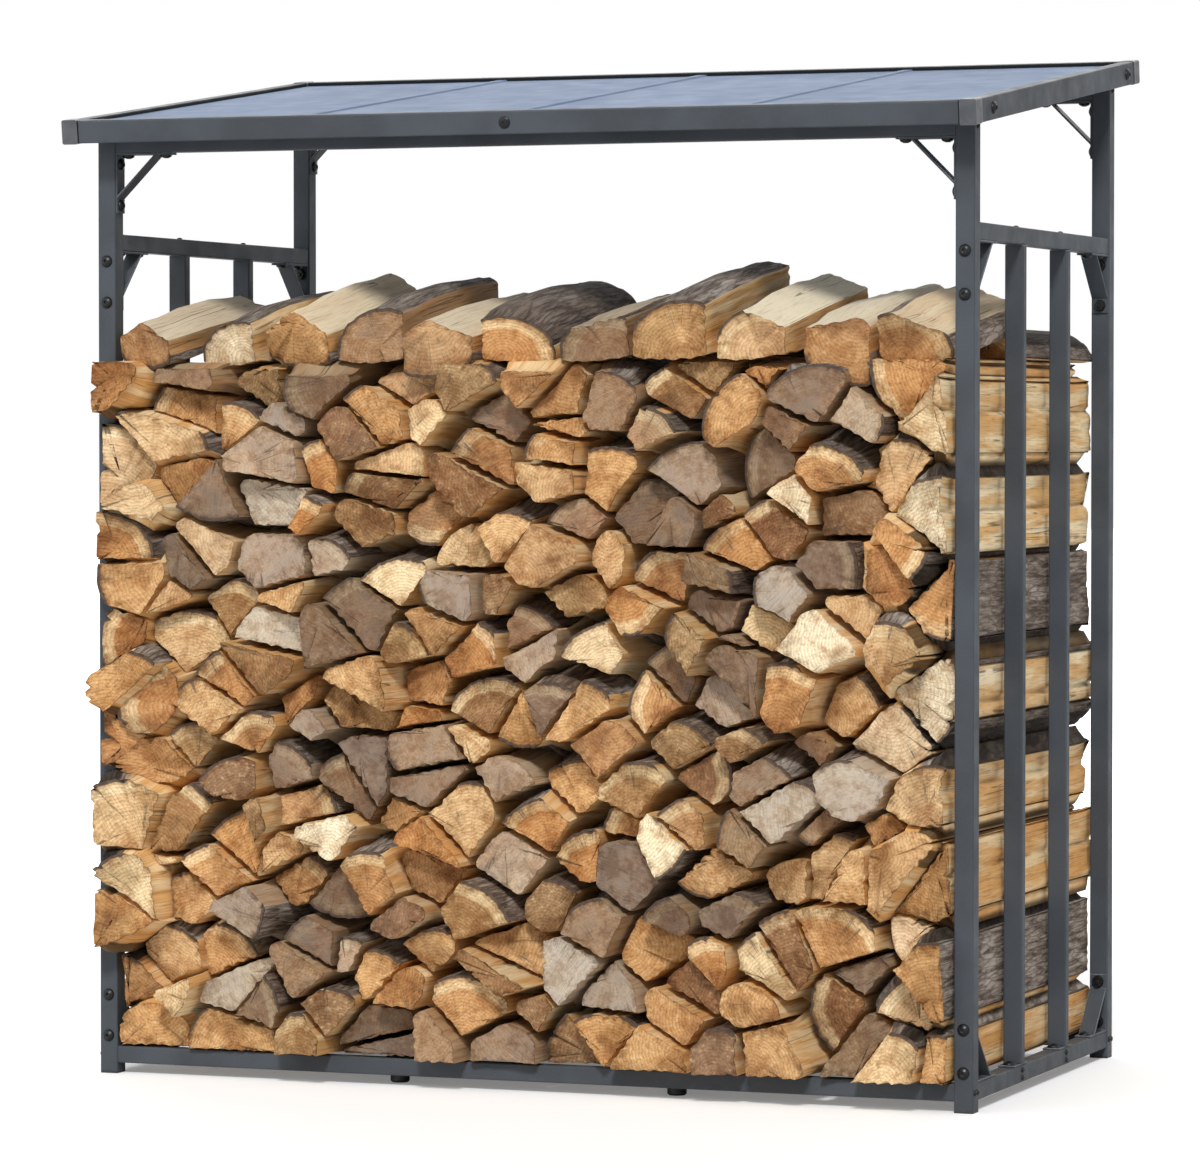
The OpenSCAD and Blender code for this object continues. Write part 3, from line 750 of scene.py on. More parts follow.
def add_nut(bm, look, matrix):
    """Hexagon nut on a washer, with the bolt's end standing out."""
    flat = look.nut_w / 2
    corner = flat / math.cos(math.pi / 6)
    washer = [(1.3 * flat, 0.0), (1.3 * flat, 0.0011), (1.24 * flat, 0.0014), (0.5 * flat, 0.0014)]
    nut = [(corner, 0.0012), (corner, 0.0056), (0.92 * corner, 0.0062), (0.55 * flat, 0.0062)]
    end = [(0.5 * flat, 0.006), (0.5 * flat, 0.0078), (0.4 * flat, 0.0085)]
    for profile, steps in ((washer, 20), (nut, 6), (end, 14)):
        spun_shape(bm, profile, steps, matrix)


def add_screw(bm, look, matrix):
    """Small pan-head screw."""
    r = look.screw_d / 2
    head = [(r, 0.0), (r, 0.22 * r), (0.92 * r, 0.45 * r), (0.7 * r, 0.62 * r), (0.42 * r, 0.7 * r),
            (0.36 * r, 0.62 * r), (0.3 * r, 0.4 * r)]
    spun_shape(bm, head, 16, matrix)


def brace_corners():
    """Corners of the side braces: (x, y, z, way along the rail, way along the post)."""
    for side in SIDES:
        low_rail, high_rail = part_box(f"{side}_bottom_side_rail"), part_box(f"{side}_top_side_rail")
        x = (low_rail[0].x + low_rail[1].x) / 2
        for z, up in ((low_rail[1].z, 1), (high_rail[0].z, -1)):
            yield x, low_rail[0].y, z, 1, up
            yield x, low_rail[1].y, z, -1, up


def plate_thickness():
    low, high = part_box("slat_foot_plates")
    return high.z - low.z


def bolt_places(look):
    """Point and normal of every domed bolt head."""
    plate = plate_thickness()
    post_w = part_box("front_left_post")[1].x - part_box("front_left_post")[0].x
    for x, y, z, inward, up in brace_corners():
        for away in (look.near, look.far):
            yield (x, y - inward * post_w, z + up * away), (0, -inward, 0)
            yield (x, y + inward * away, z + up * plate), (0, 0, up)
    for end in ("front", "rear"):
        low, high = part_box(f"{end}_top_rail")
        y = (low.y + high.y) / 2
        for x, inward in ((low.x, 1), (high.x, -1)):
            for away in (look.near, look.far):
                yield (x + inward * plate, y, low.z - away), (inward, 0, 0)
                yield (x + inward * away, y, low.z - plate), (0, 0, -1)
    for x, y in slat_spots():
        yield (x, y - SLAT_BOLT_AHEAD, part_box("slat_foot_plates")[1].z), (0, 0, 1)


def slat_spots():
    """Centres of the slats in plan."""
    for side in SIDES:
        name = f"{side}_side_slats"
        low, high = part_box(name)
        x = (low.x + high.x) / 2
        depths = sorted({round(v.co.y, 4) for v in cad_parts[name].data.vertices})
        half = len(depths) // 2
        for slat in (depths[:half], depths[half:]):
            yield x, (slat[0] + slat[-1]) / 2


def nut_places(look):
    """Point and normal of the nuts behind the bolts through the posts."""
    plate = plate_thickness()
    for x, y, z, inward, up in brace_corners():
        for away in (look.near, look.far):
            yield (x, y + inward * plate, z + up * away), (0, inward, 0)


def screw_places():
    """Point and normal of the small screws."""
    for side, way in zip(SIDES, (-1, 1)):
        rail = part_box(f"{side}_bottom_side_rail")
        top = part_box(f"{side}_top_side_rail")[1].z
        outer = rail[1].x if way > 0 else rail[0].x
        middle = (rail[0].z + rail[1].z) / 2
        for x, y in slat_spots():
            if x * way > 0:
                yield (x, y, top), (0, 0, 1)
                yield (outer, y, middle + SCREW_SPREAD), (way, 0, 0)
                yield (outer, y, middle - SCREW_SPREAD), (way, 0, 0)
        for name in POSTS:
            if side in name:
                low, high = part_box(name)
                face = high.x if way > 0 else low.x
                y = (low.y + high.y) / 2
                beam_low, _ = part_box(f"roof_{side}_beam")
                under = beam_low.z + (y - beam_low.y) * math.tan(roof_slope())
                yield (face, y, under - SCREW_BELOW_BEAM), (way, 0, 0)
                yield (face, y - SCREW_SPREAD, middle), (way, 0, 0)
                yield (face, y + SCREW_SPREAD, middle), (way, 0, 0)


# Firewood


END_FACING = 0.7


def log_solids(node):
    """The logs of a CAD node, each as the ordered corners of its front end, its axis and its length."""
    bm = bmesh.new()
    bm.from_mesh(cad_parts[node].data)
    bmesh.ops.remove_doubles(bm, verts=bm.verts, dist=1e-5)
    bmesh.ops.dissolve_limit(bm, angle_limit=math.radians(1), verts=bm.verts, edges=bm.edges)
    backs = [face for face in bm.faces if face.normal.y > END_FACING]
    logs = []
    for face in bm.faces:
        if face.normal.y < -END_FACING:
            corners = [vert.co.copy() for vert in face.verts]
            axis = -face.normal.copy()
            own_verts = linked_verts(face.verts)
            back = next(b for b in backs if b.verts[0] in own_verts)
            length = (back.calc_center_median() - face.calc_center_median()).dot(axis)
            logs.append((corners, axis, length))
    bm.free()
    logs.sort(key=lambda log: (round(log[0][0].z, 4), round(log[0][0].x, 4)))
    return logs


def turn_at(points, k):
    before = points[k] - points[k - 1]
    after = points[(k + 1) % len(points)] - points[k]
    return abs(before.angle_signed(after))


def circle_centre(a, b, c):
    """Centre of the circle through three points of the plane."""
    d = 2 * (a.x * (b.y - c.y) + b.x * (c.y - a.y) + c.x * (a.y - b.y))
    aa, bb, cc = a.length_squared, b.length_squared, c.length_squared
    return Vector((
        (aa * (b.y - c.y) + bb * (c.y - a.y) + cc * (a.y - b.y)) / d,
        (aa * (c.x - b.x) + bb * (a.x - c.x) + cc * (b.x - a.x)) / d))


# Where a log counts as outer, and how outer logs meet the posts
OUTER_X = 0.53
POST_CLEARANCE = 0.001
BESIDE_BOLTS = 0.004
SWELL = (0.01, 0.026)
SWELL_STUB = 0.012
SWELL_SLANT = (0.5, 0.3)
SWELL_BAND = (0.05, 0.04)
SWELL_STEP = 0.006
BEFORE_STEP = 0.007

# Colour and taper of a log
GREY_WEATHER = (0.65, 1.0)
FRESH_WEATHER = (0.0, 0.05, 0.12, 0.3)
# Outer logs get fresher, paler wood: painted light on the side walls
OUTER_LIT_WEATHER, OUTER_LIT_TONE = 0.15, 0.55
SPLIT_TOP_WEATHER, SPLIT_TOP_TONE = 0.4, 0.45
HUB_NEAR, HUB_FAR = 0.45, 0.6
SLACK = (0.965, 0.99)
BARK_TAPER = (0.96, 0.93, 0.9, 0.86, 0.82)
SPLIT_TAPER = (0.99, 0.985, 0.975, 0.96, 0.94)
TOP_TAPER = (0.95, 0.9, 0.84, 0.78)

# Cut ends: place, size and length of the taper, slant of the cut, and checks in it
TAPER_SIDE = (-0.35, 0.35)
TAPER_RISE = (0.0, 0.4)
TAPER_BREADTH = (0.94, 0.99)
OUTER_BREADTH = 0.99
TAPER_L = (0.04, 0.11)
CUT_SLANT, CUT_LEAN = 0.16, 0.04
CHECK_COUNTS = (0, 0, 0, 1, 1, 2)
CHECK_DEPTH = (0.002, 0.006)

# Outline of a log, and how much of a side has to look one way to count as facing it
FACING = 0.6
LOOKING_UP = 0.4
NO_BARK_PITH, NO_BARK_R = 0.8, 1.0
BARK_TURN = math.radians(7)
COURSE_BARK_TURN = math.radians(16)
SHARP_TURN = math.radians(14)

# Relief of the sides and the cut ends; a rate says how often it comes across and along the grain
BARK_RIDGE, BARK_RIDGE_RATE = 0.0011, (150, 17)
BARK_LUMP, BARK_LUMP_RATE = 0.0013, (36, 9)
SPLIT_WAVE, SPLIT_WAVE_RATE = 0.0012, (55, 5)
SPLIT_FIBRE, SPLIT_FIBRE_RATE = 0.0006, (210, 9)
HOLLOW = (-0.0004, 0.0032)
HOLLOW_EDGE_L = 0.04
CORNER_EASE = 0.0018
RAGGED_RIM, RAGGED_RATE, RAGGED_REACH = 0.0034, 420, 0.012
CHECK_NOTCH, CHECK_REACH = 0.6, 0.05
CHECK_FULL, CHECK_SINK = 1.6, 1.4
SLACK_REACH = 0.05
CUT_ROUGHNESS, CUT_RATE, CUT_REACH = 0.0009, 38, 0.16

# Outward side of an outer log
SIDE_BARK_SHARE = 0.2
SIDE_RECESS = 0.009
SIDE_RIPPLE, SIDE_RIPPLE_RATE = 0.0016, (60, 5)
SIDE_CORNER = 0.007
SIDE_JOINT = 0.01
# How far the painted shade of a joint reaches behind an edge of the outward side
JOINT_SHADE_REACH = (0.008, 0.03)
SPLIT_LOG_H = 0.07
SPLIT_HEIGHT = (0.35, 0.65)
SPLIT_DEPTH, SPLIT_HALF_W = 0.008, 0.006
SPLIT_SWAY, SPLIT_SWAY_RATE = 0.005, 6
SPLIT_LEDGE = (-0.004, 0.006)

# How the logs close up behind their ends, so that no light shows through the stack
WIDEST_SLIT = 0.04
CONTACT = 0.0025
CLOSED_OUTER = (0.01, 0.026)
CLOSED_INNER = (0.06, 0.12)
CLOSED_SEAT = 0.02
OPEN_RELIEF = 0.9

# Leaning logs
LEANING_SINK = 0.0045
LEANING_SPREAD = 0.006
LEANING_MIDDLE = 0.3
LEANING_SAG = 0.007
BELLY_FULL, BELLY_FADE = 1.4, 0.1
# Share of painted light on the split faces of the leaning logs that look up
PAINTED_TOP_LIGHT = (0.35, 0.95)

# Rings of points, front to back
FACE_RINGS = (0.16, 0.4, 0.62, 0.8, 0.92, 0.985)
NEAR_RINGS = (0.0022, 0.009, 0.02, 0.036, 0.058, 0.085, 0.12)
RING_STEP = 0.028
PLAIN_RINGS = 3
END_GRAIN, SPLIT_FACE, BARK = range(3)
SEATS = {"firewood_back_course": "course", "firewood_leaning_logs": "leaning"}
TOP_TIER_DROP = 0.012


def clamp(value):
    return max(0.0, min(1.0, value))


def wobble(x, y, z):
    """Smooth noise from -1 to 1."""
    return noise.noise(Vector((x, y, z)))


class Log:
    """One split log: its outline in the plane of its front end, and its own character."""

    def __init__(self, corners, axis, length, chance, look, seat, neighbours, post_front, over_bolts):
        self.axis, self.length, self.seat = axis, length, seat
        self.across = X_AXIS
        self.up = X_AXIS.cross(axis)
        self.origin = sum(corners, Vector()) / len(corners)
        off = [p - self.origin for p in corners]
        points = [Vector((p.dot(self.across), p.dot(self.up))) for p in off]
        if sum(a.cross(b) for a, b in zip(points, points[1:] + points[:1])) < 0:
            points.reverse()
        self.find_bark(points)
        self.spread_points(points, look.ring_spacing)
        self.outer = seat != "leaning" and max(abs(p.x) for p in corners) > OUTER_X
        self.way_out = math.copysign(1, self.origin.x)
        self.stub = post_front - self.origin.y - POST_CLEARANCE
        self.over_bolts = min(p.z for p in corners) > over_bolts
        self.room = [self.room_beyond(k, neighbours) for k in range(len(self.points))]
        self.chance = chance
        self.give_character(look)

    def find_bark(self, points):
        """The bark is the run of short, even turns; the pith is the centre of its arc."""
        count = len(points)
        even = COURSE_BARK_TURN if self.seat == "course" else BARK_TURN
        on_arc = [turn_at(points, k) < even for k in range(count)]
        arc = [points[k] for k in range(count) if on_arc[k]]
        self.bark_edge = [on_arc[k] or on_arc[(k + 1) % count] for k in range(count)]
        if len(arc) < 3:
            self.bark_edge = [False] * count
            self.pith, self.bark_r = points[0] * NO_BARK_PITH, NO_BARK_R
            return
        start = next(k for k in range(count) if on_arc[k] and not on_arc[k - 1])
        run = [points[(start + k) % count] for k in range(count) if on_arc[(start + k) % count]]
        self.pith = circle_centre(run[0], run[len(run) // 2], run[-1])
        self.bark_r = (run[0] - self.pith).length

    def room_beyond(self, k, neighbours):
        """Half the free way from outline point k to the next log, where there is one near."""
        start = Vector((self.origin.x, self.origin.z)) + self.points[k]
        end = start - self.inward[k] * WIDEST_SLIT
        hits = (intersect_line_line_2d(start, end, a, b) for a, b in neighbours)
        ways = [(hit - start).length for hit in hits if hit]
        return min(ways) / 2 + CONTACT if ways else 0.0

    def spread_points(self, points, spacing):
        """Even points along the outline, with the corners eased."""
        self.points, self.on_bark, self.corner, self.inward, self.run, self.share = [], [], [], [], [], []
        count = len(points)
        travelled = 0.0
        for k in range(count):
            a, b = points[k], points[(k + 1) % count]
            edge = b - a
            length = edge.length
            if length < 1e-6:
                continue
            inward = Vector((-edge.y, edge.x)) / length
            sharp = turn_at(points, k) > SHARP_TURN
            cuts = max(1, round(length / spacing))
            for step in range(cuts):
                point = a + edge * (step / cuts)
                normal = inward
                if step == 0:
                    before = points[k] - points[k - 1]
                    other = Vector((-before.y, before.x)).normalized()
                    normal = (inward + other).normalized()
                self.points.append(point)
                self.on_bark.append(self.bark_edge[k])
                self.corner.append(step == 0 and sharp)
                self.inward.append(normal)
                self.run.append(travelled + length * step / cuts)
                self.share.append((step / cuts, length))
            travelled += length

    def give_character(self, look):
        chance = self.chance
        self.seed = chance.random() * 40
        self.tone = chance.random()
        grey = chance.random() < look.weathered_share
        if grey:
            self.weather = chance.uniform(*GREY_WEATHER)
        else:
            self.weather = chance.choice(FRESH_WEATHER) * chance.random()
        heights = [p.y for p in self.points]
        sides = [p.x for p in self.points]
        self.low, self.high, self.wide = min(heights), max(heights), max(sides) - min(sides)
        tops = [bark for bark, inward in zip(self.on_bark, self.inward) if inward.y < -LOOKING_UP]
        self.bark_on_top = sum(tops) > 0.5 * len(tops)
        self.recess = chance.uniform(0.0, SIDE_RECESS) if self.outer else 0.0
        # Painted light: the logs of the side walls are made fresher and paler
        if self.outer:
            self.weather *= OUTER_LIT_WEATHER
            self.tone *= OUTER_LIT_TONE
        self.reach = max(p.x * self.way_out for p in self.points)
        self.rounded = list(self.on_bark)
        self.groove, self.ledge = None, 0.0
        if self.outer:
            self.dress_the_side()
        left = self.outer and self.way_out < 0
        self.setback = max(0.0, self.stub - BESIDE_BOLTS) if left and not self.over_bolts else 0.0
        swells = left and self.over_bolts and self.stub > SWELL_STUB
        self.swell = chance.uniform(*SWELL) if swells else 0.0
        self.ends = [self.end_cut() for _ in range(2)]
        self.sag = [0.0] * len(self.points)
        if self.seat == "leaning":
            self.round_the_belly()
        middle = sum(self.points, Vector((0, 0))) / len(self.points)
        inside = HUB_NEAR if (self.pith - middle).length < 0.5 * self.wide else HUB_FAR
        self.hub = self.pith.lerp(middle, inside)
        self.slack = chance.uniform(*SLACK)
        self.hollow = [chance.uniform(*HOLLOW) for _ in range(16)]
        # Painted light on the upward split faces, leaning logs only
        self.bleached = chance.uniform(*PAINTED_TOP_LIGHT) if self.seat == "leaning" else 0.0
        self.joint = [float(self.outer and self.beside_joint(k)) for k in range(len(self.points))]

    def beside_joint(self, k):
        """Whether a point lies at or just behind an edge of the outward side, where the joints get painted
        shade.
        """
        near, far = JOINT_SHADE_REACH
        behind = self.reach - self.points[k].x * self.way_out
        return behind < far and (self.corner[k] or behind > near)

    def dress_the_side(self):
        """Bark or a long split on the side that looks out between the slats."""
        chance = self.chance
        if chance.random() < SIDE_BARK_SHARE:
            for k, inward in enumerate(self.inward):
                if inward.x * self.way_out < -FACING:
                    self.on_bark[k] = True
        elif self.high - self.low > SPLIT_LOG_H:
            self.groove = self.low + chance.uniform(*SPLIT_HEIGHT) * (self.high - self.low)
            self.ledge = chance.uniform(*SPLIT_LEDGE)

    def round_the_belly(self):
        """Gives a leaning log that is split on top a round bark side below, with its ridge as the pith."""
        belly = [k for k, inward in enumerate(self.inward) if inward.y > FACING]
        split = not any(self.on_bark)
        if split:
            self.weather *= SPLIT_TOP_WEATHER
            self.tone *= SPLIT_TOP_TONE
            self.pith = max(self.points, key=lambda p: p.y)
            self.bark_r = max((self.points[k] - self.pith).length for k in belly)
        for k in belly:
            x = self.points[k].x
            if split:
                round_y = self.pith.y - math.sqrt(max(0.0, self.bark_r ** 2 - (x - self.pith.x) ** 2))
                self.sag[k] = max(0.0, self.points[k].y - round_y)
                self.on_bark[k] = True
            else:
                self.sag[k] = LEANING_SAG * max(0.0, 1 - (2 * x / self.wide) ** 2)

    def end_cut(self):
        """Slant of the cut, the taper behind it, and the checks in it."""
        chance = self.chance
        side, rise = chance.uniform(*TAPER_SIDE), chance.uniform(*TAPER_RISE)
        broad = 0.0
        tall = chance.choice(BARK_TAPER if self.bark_on_top else SPLIT_TAPER)
        if self.seat == "top":
            tall, rise = chance.choice(TOP_TAPER), 0.0
        if self.seat == "leaning":
            rise = 0.0
        if self.outer:
            side, tall, broad = 0.5 * self.way_out, 1.0, OUTER_BREADTH
        slant = Vector((chance.gauss(0, CUT_SLANT), chance.gauss(CUT_LEAN, CUT_SLANT)))
        if self.swell:
            slant = Vector((SWELL_SLANT[0] * abs(slant.x), SWELL_SLANT[1] * slant.y))
        checks = {}
        for _ in range(chance.choice(CHECK_COUNTS)):
            checks[chance.randrange(len(self.points))] = chance.uniform(*CHECK_DEPTH)
        return {
            "slant": slant,
            "scale": Vector((max(broad, chance.uniform(*TAPER_BREADTH)), tall)),
            "anchor": Vector((side * self.wide, self.low + rise * (self.high - self.low))),
            "depth": chance.uniform(*TAPER_L),
            "checks": checks,
        }

    def cut_depth(self, end, point):
        """How far the slanted cut lies behind the log's foremost point."""
        slant = end["slant"]
        reach = min(slant.dot(p) for p in self.points)
        rough = wobble(point.x * CUT_RATE, point.y * CUT_RATE, self.seed)
        setback = self.setback if end is self.ends[0] else 0.0
        return slant.dot(point) - reach + CUT_ROUGHNESS * (1 + rough) + setback

    def own_wobble(self, across, way, rate, shift=0):
        """Smooth noise that belongs to this log, stretched along its grain."""
        return wobble(across * rate[0], way * rate[1], self.seed + shift)

    def relief(self, k, way):
        """How far bark, fibres and hollows sink outline point k in."""
        run = self.run[k]
        if self.on_bark[k]:
            ridge = self.own_wobble(run, way, BARK_RIDGE_RATE)
            lump = self.own_wobble(run, way, BARK_LUMP_RATE, 9)
            sink = BARK_RIDGE * (1 + ridge) + BARK_LUMP * (1 + lump)
        else:
            along, edge_l = self.share[k]
            wave = self.own_wobble(run, way, SPLIT_WAVE_RATE)
            fibre = self.own_wobble(run, way, SPLIT_FIBRE_RATE, 5)
            bow = self.hollow[k % 3] * math.sin(math.pi * along) * min(1.0, edge_l / HOLLOW_EDGE_L)
            sink = max(0.0, SPLIT_WAVE * (1 + wave) + SPLIT_FIBRE * (1 + fibre) + bow)
        return sink + CORNER_EASE if self.corner[k] else sink

    def side_limit(self, k, height, way):
        """How far out point k may stand on the side that looks out between the slats."""
        ripple = self.own_wobble(height, way, SIDE_RIPPLE_RATE, 2)
        eased = SIDE_CORNER if self.corner[k] else 0.0
        limit = self.reach - self.recess - SIDE_RIPPLE * (1 + ripple) - eased
        if self.groove is not None:
            above = height - self.groove - SPLIT_SWAY * wobble(way * SPLIT_SWAY_RATE, self.seed, 1.0)
            ledge = self.ledge if above > 0 else 0.0
            limit -= SPLIT_DEPTH * max(0.0, 1 - abs(above) / SPLIT_HALF_W) + ledge
        return min(self.reach, limit)

    def rim_point(self, k, depth, end):
        """Outline point k at a distance behind one end."""
        inward = self.inward[k]
        in_front = end is self.ends[0]
        way = depth if in_front else self.length - depth
        near = max(0.0, 1 - depth / end["depth"])
        near = near * near * (3 - 2 * near)
        closed = self.closed(depth, k)
        slack = 1 - (1 - self.slack) * min(1.0, depth / SLACK_REACH) * (1 - closed)
        scale = (Vector((1, 1)) - (Vector((1, 1)) - end["scale"]) * near) * slack
        ragged = wobble(self.run[k] * RAGGED_RATE, self.seed, 3.0 if in_front else 7.0)
        sink = self.relief(k, way)
        sink += max(0.0, ragged) * RAGGED_RIM * max(0.0, 1 - depth / RAGGED_REACH)
        sink = sink * (1 - OPEN_RELIEF * closed) - self.room[k] * closed
        sink += end["checks"].get(k, 0.0) * max(0.0, 1 - depth / CHECK_REACH) * CHECK_NOTCH
        point = end["anchor"] + (self.points[k] - end["anchor"]) * scale + inward * sink
        if self.outer and not self.rounded[k]:
            limit = self.side_limit(k, point.y, way)
            point.x = self.way_out * min(point.x * self.way_out, limit)
        if self.swell and in_front:
            start, width = SWELL_BAND
            outward = clamp((point.x * self.way_out - self.reach + start) / width)
            point.x += self.way_out * self.swell * outward * clamp((self.stub - depth) / SWELL_STEP)
        if self.seat == "leaning":
            share = min(1.0, abs(point.x) / (LEANING_MIDDLE * self.wide))
            point.x += math.copysign(LEANING_SPREAD, point.x) * share
            if inward.y > FACING:
                point.y -= LEANING_SINK + self.sag[k] * clamp(BELLY_FULL - way / BELLY_FADE)
        return point

    def closed(self, depth, k):
        """1 where the log stands against its neighbours and lets no light through."""
        up = self.inward[k].y
        if self.outer and self.points[k].x * self.way_out > self.reach - SIDE_JOINT:
            return 0.0
        if self.seat == "leaning" and up > FACING or self.seat == "top" and up < -FACING:
            return 1.0 if depth > CLOSED_SEAT else 0.0
        start, full = CLOSED_OUTER if self.outer else CLOSED_INNER
        return clamp((depth - start) / (full - start))

    def spot(self, point, way):
        return self.origin + self.across * point.x + self.up * point.y + self.axis * way

    def face_ring(self, end, scale):
        """Ring of points on the cut end, drawn in towards the hub."""
        ring = []
        for k in range(len(self.points)):
            rim = self.rim_point(k, 0.0, end)
            point = self.hub + (rim - self.hub) * scale
            depth = self.cut_depth(end, point)
            check = end["checks"].get(k, 0.0)
            depth += check * min(1.0, CHECK_FULL * scale) * CHECK_SINK
            outline = self.points[k] - Vector((0, self.sag[k]))
            ring.append((point, depth, self.hub + (outline - self.hub) * scale, scale))
        return ring

    def side_ring(self, end, depth):
        """Ring of points round the log, behind the cut end."""
        ring = []
        for k in range(len(self.points)):
            point = self.rim_point(k, depth, end)
            slope = self.cut_depth(end, point) * max(0.0, 1 - depth / CUT_REACH)
            ring.append((point, depth + slope, self.points[k], 1.0))
        return ring


def log_rings(log, fine):
    """Rings of (point, way along the log, place in the grain, share of the way to the rim)."""
    front, back = log.ends

    def from_back(ring):
        return [(point, log.length - depth, grain, share) for point, depth, grain, share in ring]

    rings = [("face", log.face_ring(front, scale)) for scale in FACE_RINGS]
    near = set(NEAR_RINGS)
    if log.swell:
        near |= {log.stub - BEFORE_STEP, log.stub}
    rings += [("side", log.side_ring(front, depth)) for depth in sorted(near)]
    first, last = NEAR_RINGS[-1], log.length - NEAR_RINGS[-1]
    count = max(1, round((last - first) / RING_STEP)) if fine else PLAIN_RINGS
    for step in range(1, count):
        way = first + (last - first) * step / count
        from_front = way < log.length / 2
        ring = log.side_ring(front, way) if from_front else from_back(log.side_ring(back, log.length - way))
        rings.append(("side", ring))
    rings += [("side", from_back(log.side_ring(back, depth))) for depth in reversed(NEAR_RINGS)]
    rings += [("face", from_back(log.face_ring(back, scale))) for scale in reversed(FACE_RINGS)]
    return rings


def edges_round(bm, ring):
    return [bm.edges.get(pair) for pair in zip(ring, ring[1:] + ring[:1])]


def log_mesh(log, fine):
    """Builds a log from the middle of its front end, over the rim, along its sides and back to a middle."""
    bm = bmesh.new()
    grain_layer = bm.verts.layers.float_vector.new("grain")
    traits_layer = bm.verts.layers.float_color.new("log_traits")
    rim_layer = bm.verts.layers.float.new("toward_rim")
    top_light_layer = bm.verts.layers.float.new("bleached")
    joint_layer = bm.verts.layers.float.new("joint")
    traits = (log.tone, log.weather, min(1.0, log.bark_r / BARK_R_SCALE), log.seed)

    def settle(vert, k, point, way, grain, share):
        vert.co = log.spot(point, way)
        off = grain - log.pith
        vert[grain_layer] = (off.x, off.y, way)
        vert[traits_layer] = traits
        vert[rim_layer] = share
        vert[top_light_layer] = log.bleached
        vert[joint_layer] = log.joint[k]

    rings = log_rings(log, fine)
    last_face = rings[len(FACE_RINGS) - 1][1]
    ring = []
    for k, place in enumerate(rings[0][1]):
        vert = bm.verts.new()
        settle(vert, k, *place)
        ring.append(vert)
    bm.faces.new(ring).material_index = END_GRAIN
    edges = edges_round(bm, ring)
    for (kind, places), (kind_before, _) in zip(rings[1:], rings):
        grown = bmesh.ops.extrude_edge_only(bm, edges=edges)["geom"]
        new = {g for g in grown if isinstance(g, bmesh.types.BMVert)}
        ring = [next(e.other_vert(v) for e in v.link_edges if e.other_vert(v) in new) for v in ring]
        for k, (vert, place) in enumerate(zip(ring, places)):
            settle(vert, k, *place)
        edges = edges_round(bm, ring)
        on_end = "face" in (kind, kind_before)
        for k, edge in enumerate(edges):
            face = edge.link_faces[0]
            face.smooth = True
            face.material_index = END_GRAIN if on_end else BARK if log.on_bark[k] else SPLIT_FACE
            edge.smooth = kind == kind_before and places is not last_face
        if kind == "side":
            around = set(edges)
            for k, vert in enumerate(ring):
                if log.corner[k] or log.on_bark[k] != log.on_bark[k - 1]:
                    for edge in vert.link_edges:
                        if edge not in around:
                            edge.smooth = False
    bm.faces.new(reversed(ring)).material_index = END_GRAIN
    bmesh.ops.recalc_face_normals(bm, faces=bm.faces)
    mesh = bpy.data.meshes.new("log")
    bm.to_mesh(mesh)
    bm.free()
    return mesh


def outline_edges(corners):
    """Edges of a log's outline, seen from the front, as pairs of points."""
    points = [Vector((p.x, p.z)) for p in corners]
    return list(zip(points, points[1:] + points[:1]))


def edges_near(corners, outlines):
    """Edges of the other logs that are close to a log."""
    def span(points):
        across, up = [p.x for p in points], [p.z for p in points]
        return min(across), max(across), min(up), max(up)

    left, right, low, high = span(corners)
    near = []
    for other in outlines:
        if other is not corners:
            a, b, c, d = span(other)
            if max(left - b, a - right, low - d, c - high) < WIDEST_SLIT:
                near += outline_edges(other)
    return near


class LOGSTORE_OT_firewood(bpy.types.Operator):
    """Split logs in the places of the CAD logs, with bark, split faces and cut ends"""
    bl_idname = "log_store.firewood"
    bl_label = "Firewood"

    def execute(self, context):
        look = settings().firewood
        finishes = [end_grain_finish(look), split_face_finish(look), bark_finish(look)]
        stack_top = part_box("firewood_back_course")[0].z - TOP_TIER_DROP
        post_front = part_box("front_left_post")[0].y
        fasteners = settings().fasteners
        over_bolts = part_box("left_bottom_side_rail")[1].z + fasteners.far + fasteners.head_d
        solids = {node: log_solids(node) for node in FIREWOOD_NODES}
        outlines = [corners for node in FIREWOOD_NODES for corners, _, _ in solids[node] if "tier" in node]
        for number, node in enumerate(FIREWOOD_NODES):
            bm = bmesh.new()
            stacked = node.startswith("firewood_tier")
            for place, (corners, axis, length) in enumerate(solids[node]):
                chance = random.Random(look.seed * 100000 + number * 1000 + place)
                on_top = max(p.z for p in corners) > stack_top
                seat = SEATS.get(node, "top" if on_top else "stack")
                neighbours = edges_near(corners, outlines) if stacked else []
                log = Log(corners, axis, length, chance, look, seat, neighbours, post_front, over_bolts)
                mesh = log_mesh(log, log.outer or not stacked)
                bm.from_mesh(mesh)
                bpy.data.meshes.remove(mesh)
            make_piece(node.replace("firewood", "split_logs"), bm, finishes, node)
        return {"FINISHED"}


# Azimuth, elevation and spread of each light, in degrees
LIGHTS = {"key": (17, 38, 10), "fill": (-40, 20, 60), "back": (200, 35, 60)}
CAMERA_PLACE = (2.4905, -6.5798, 0.8431)
CAMERA_YAW = math.radians(20.85)
CAMERA_PITCH = math.radians(-1.67)
CAMERA_REACH = 200
FLOOR_R = 40


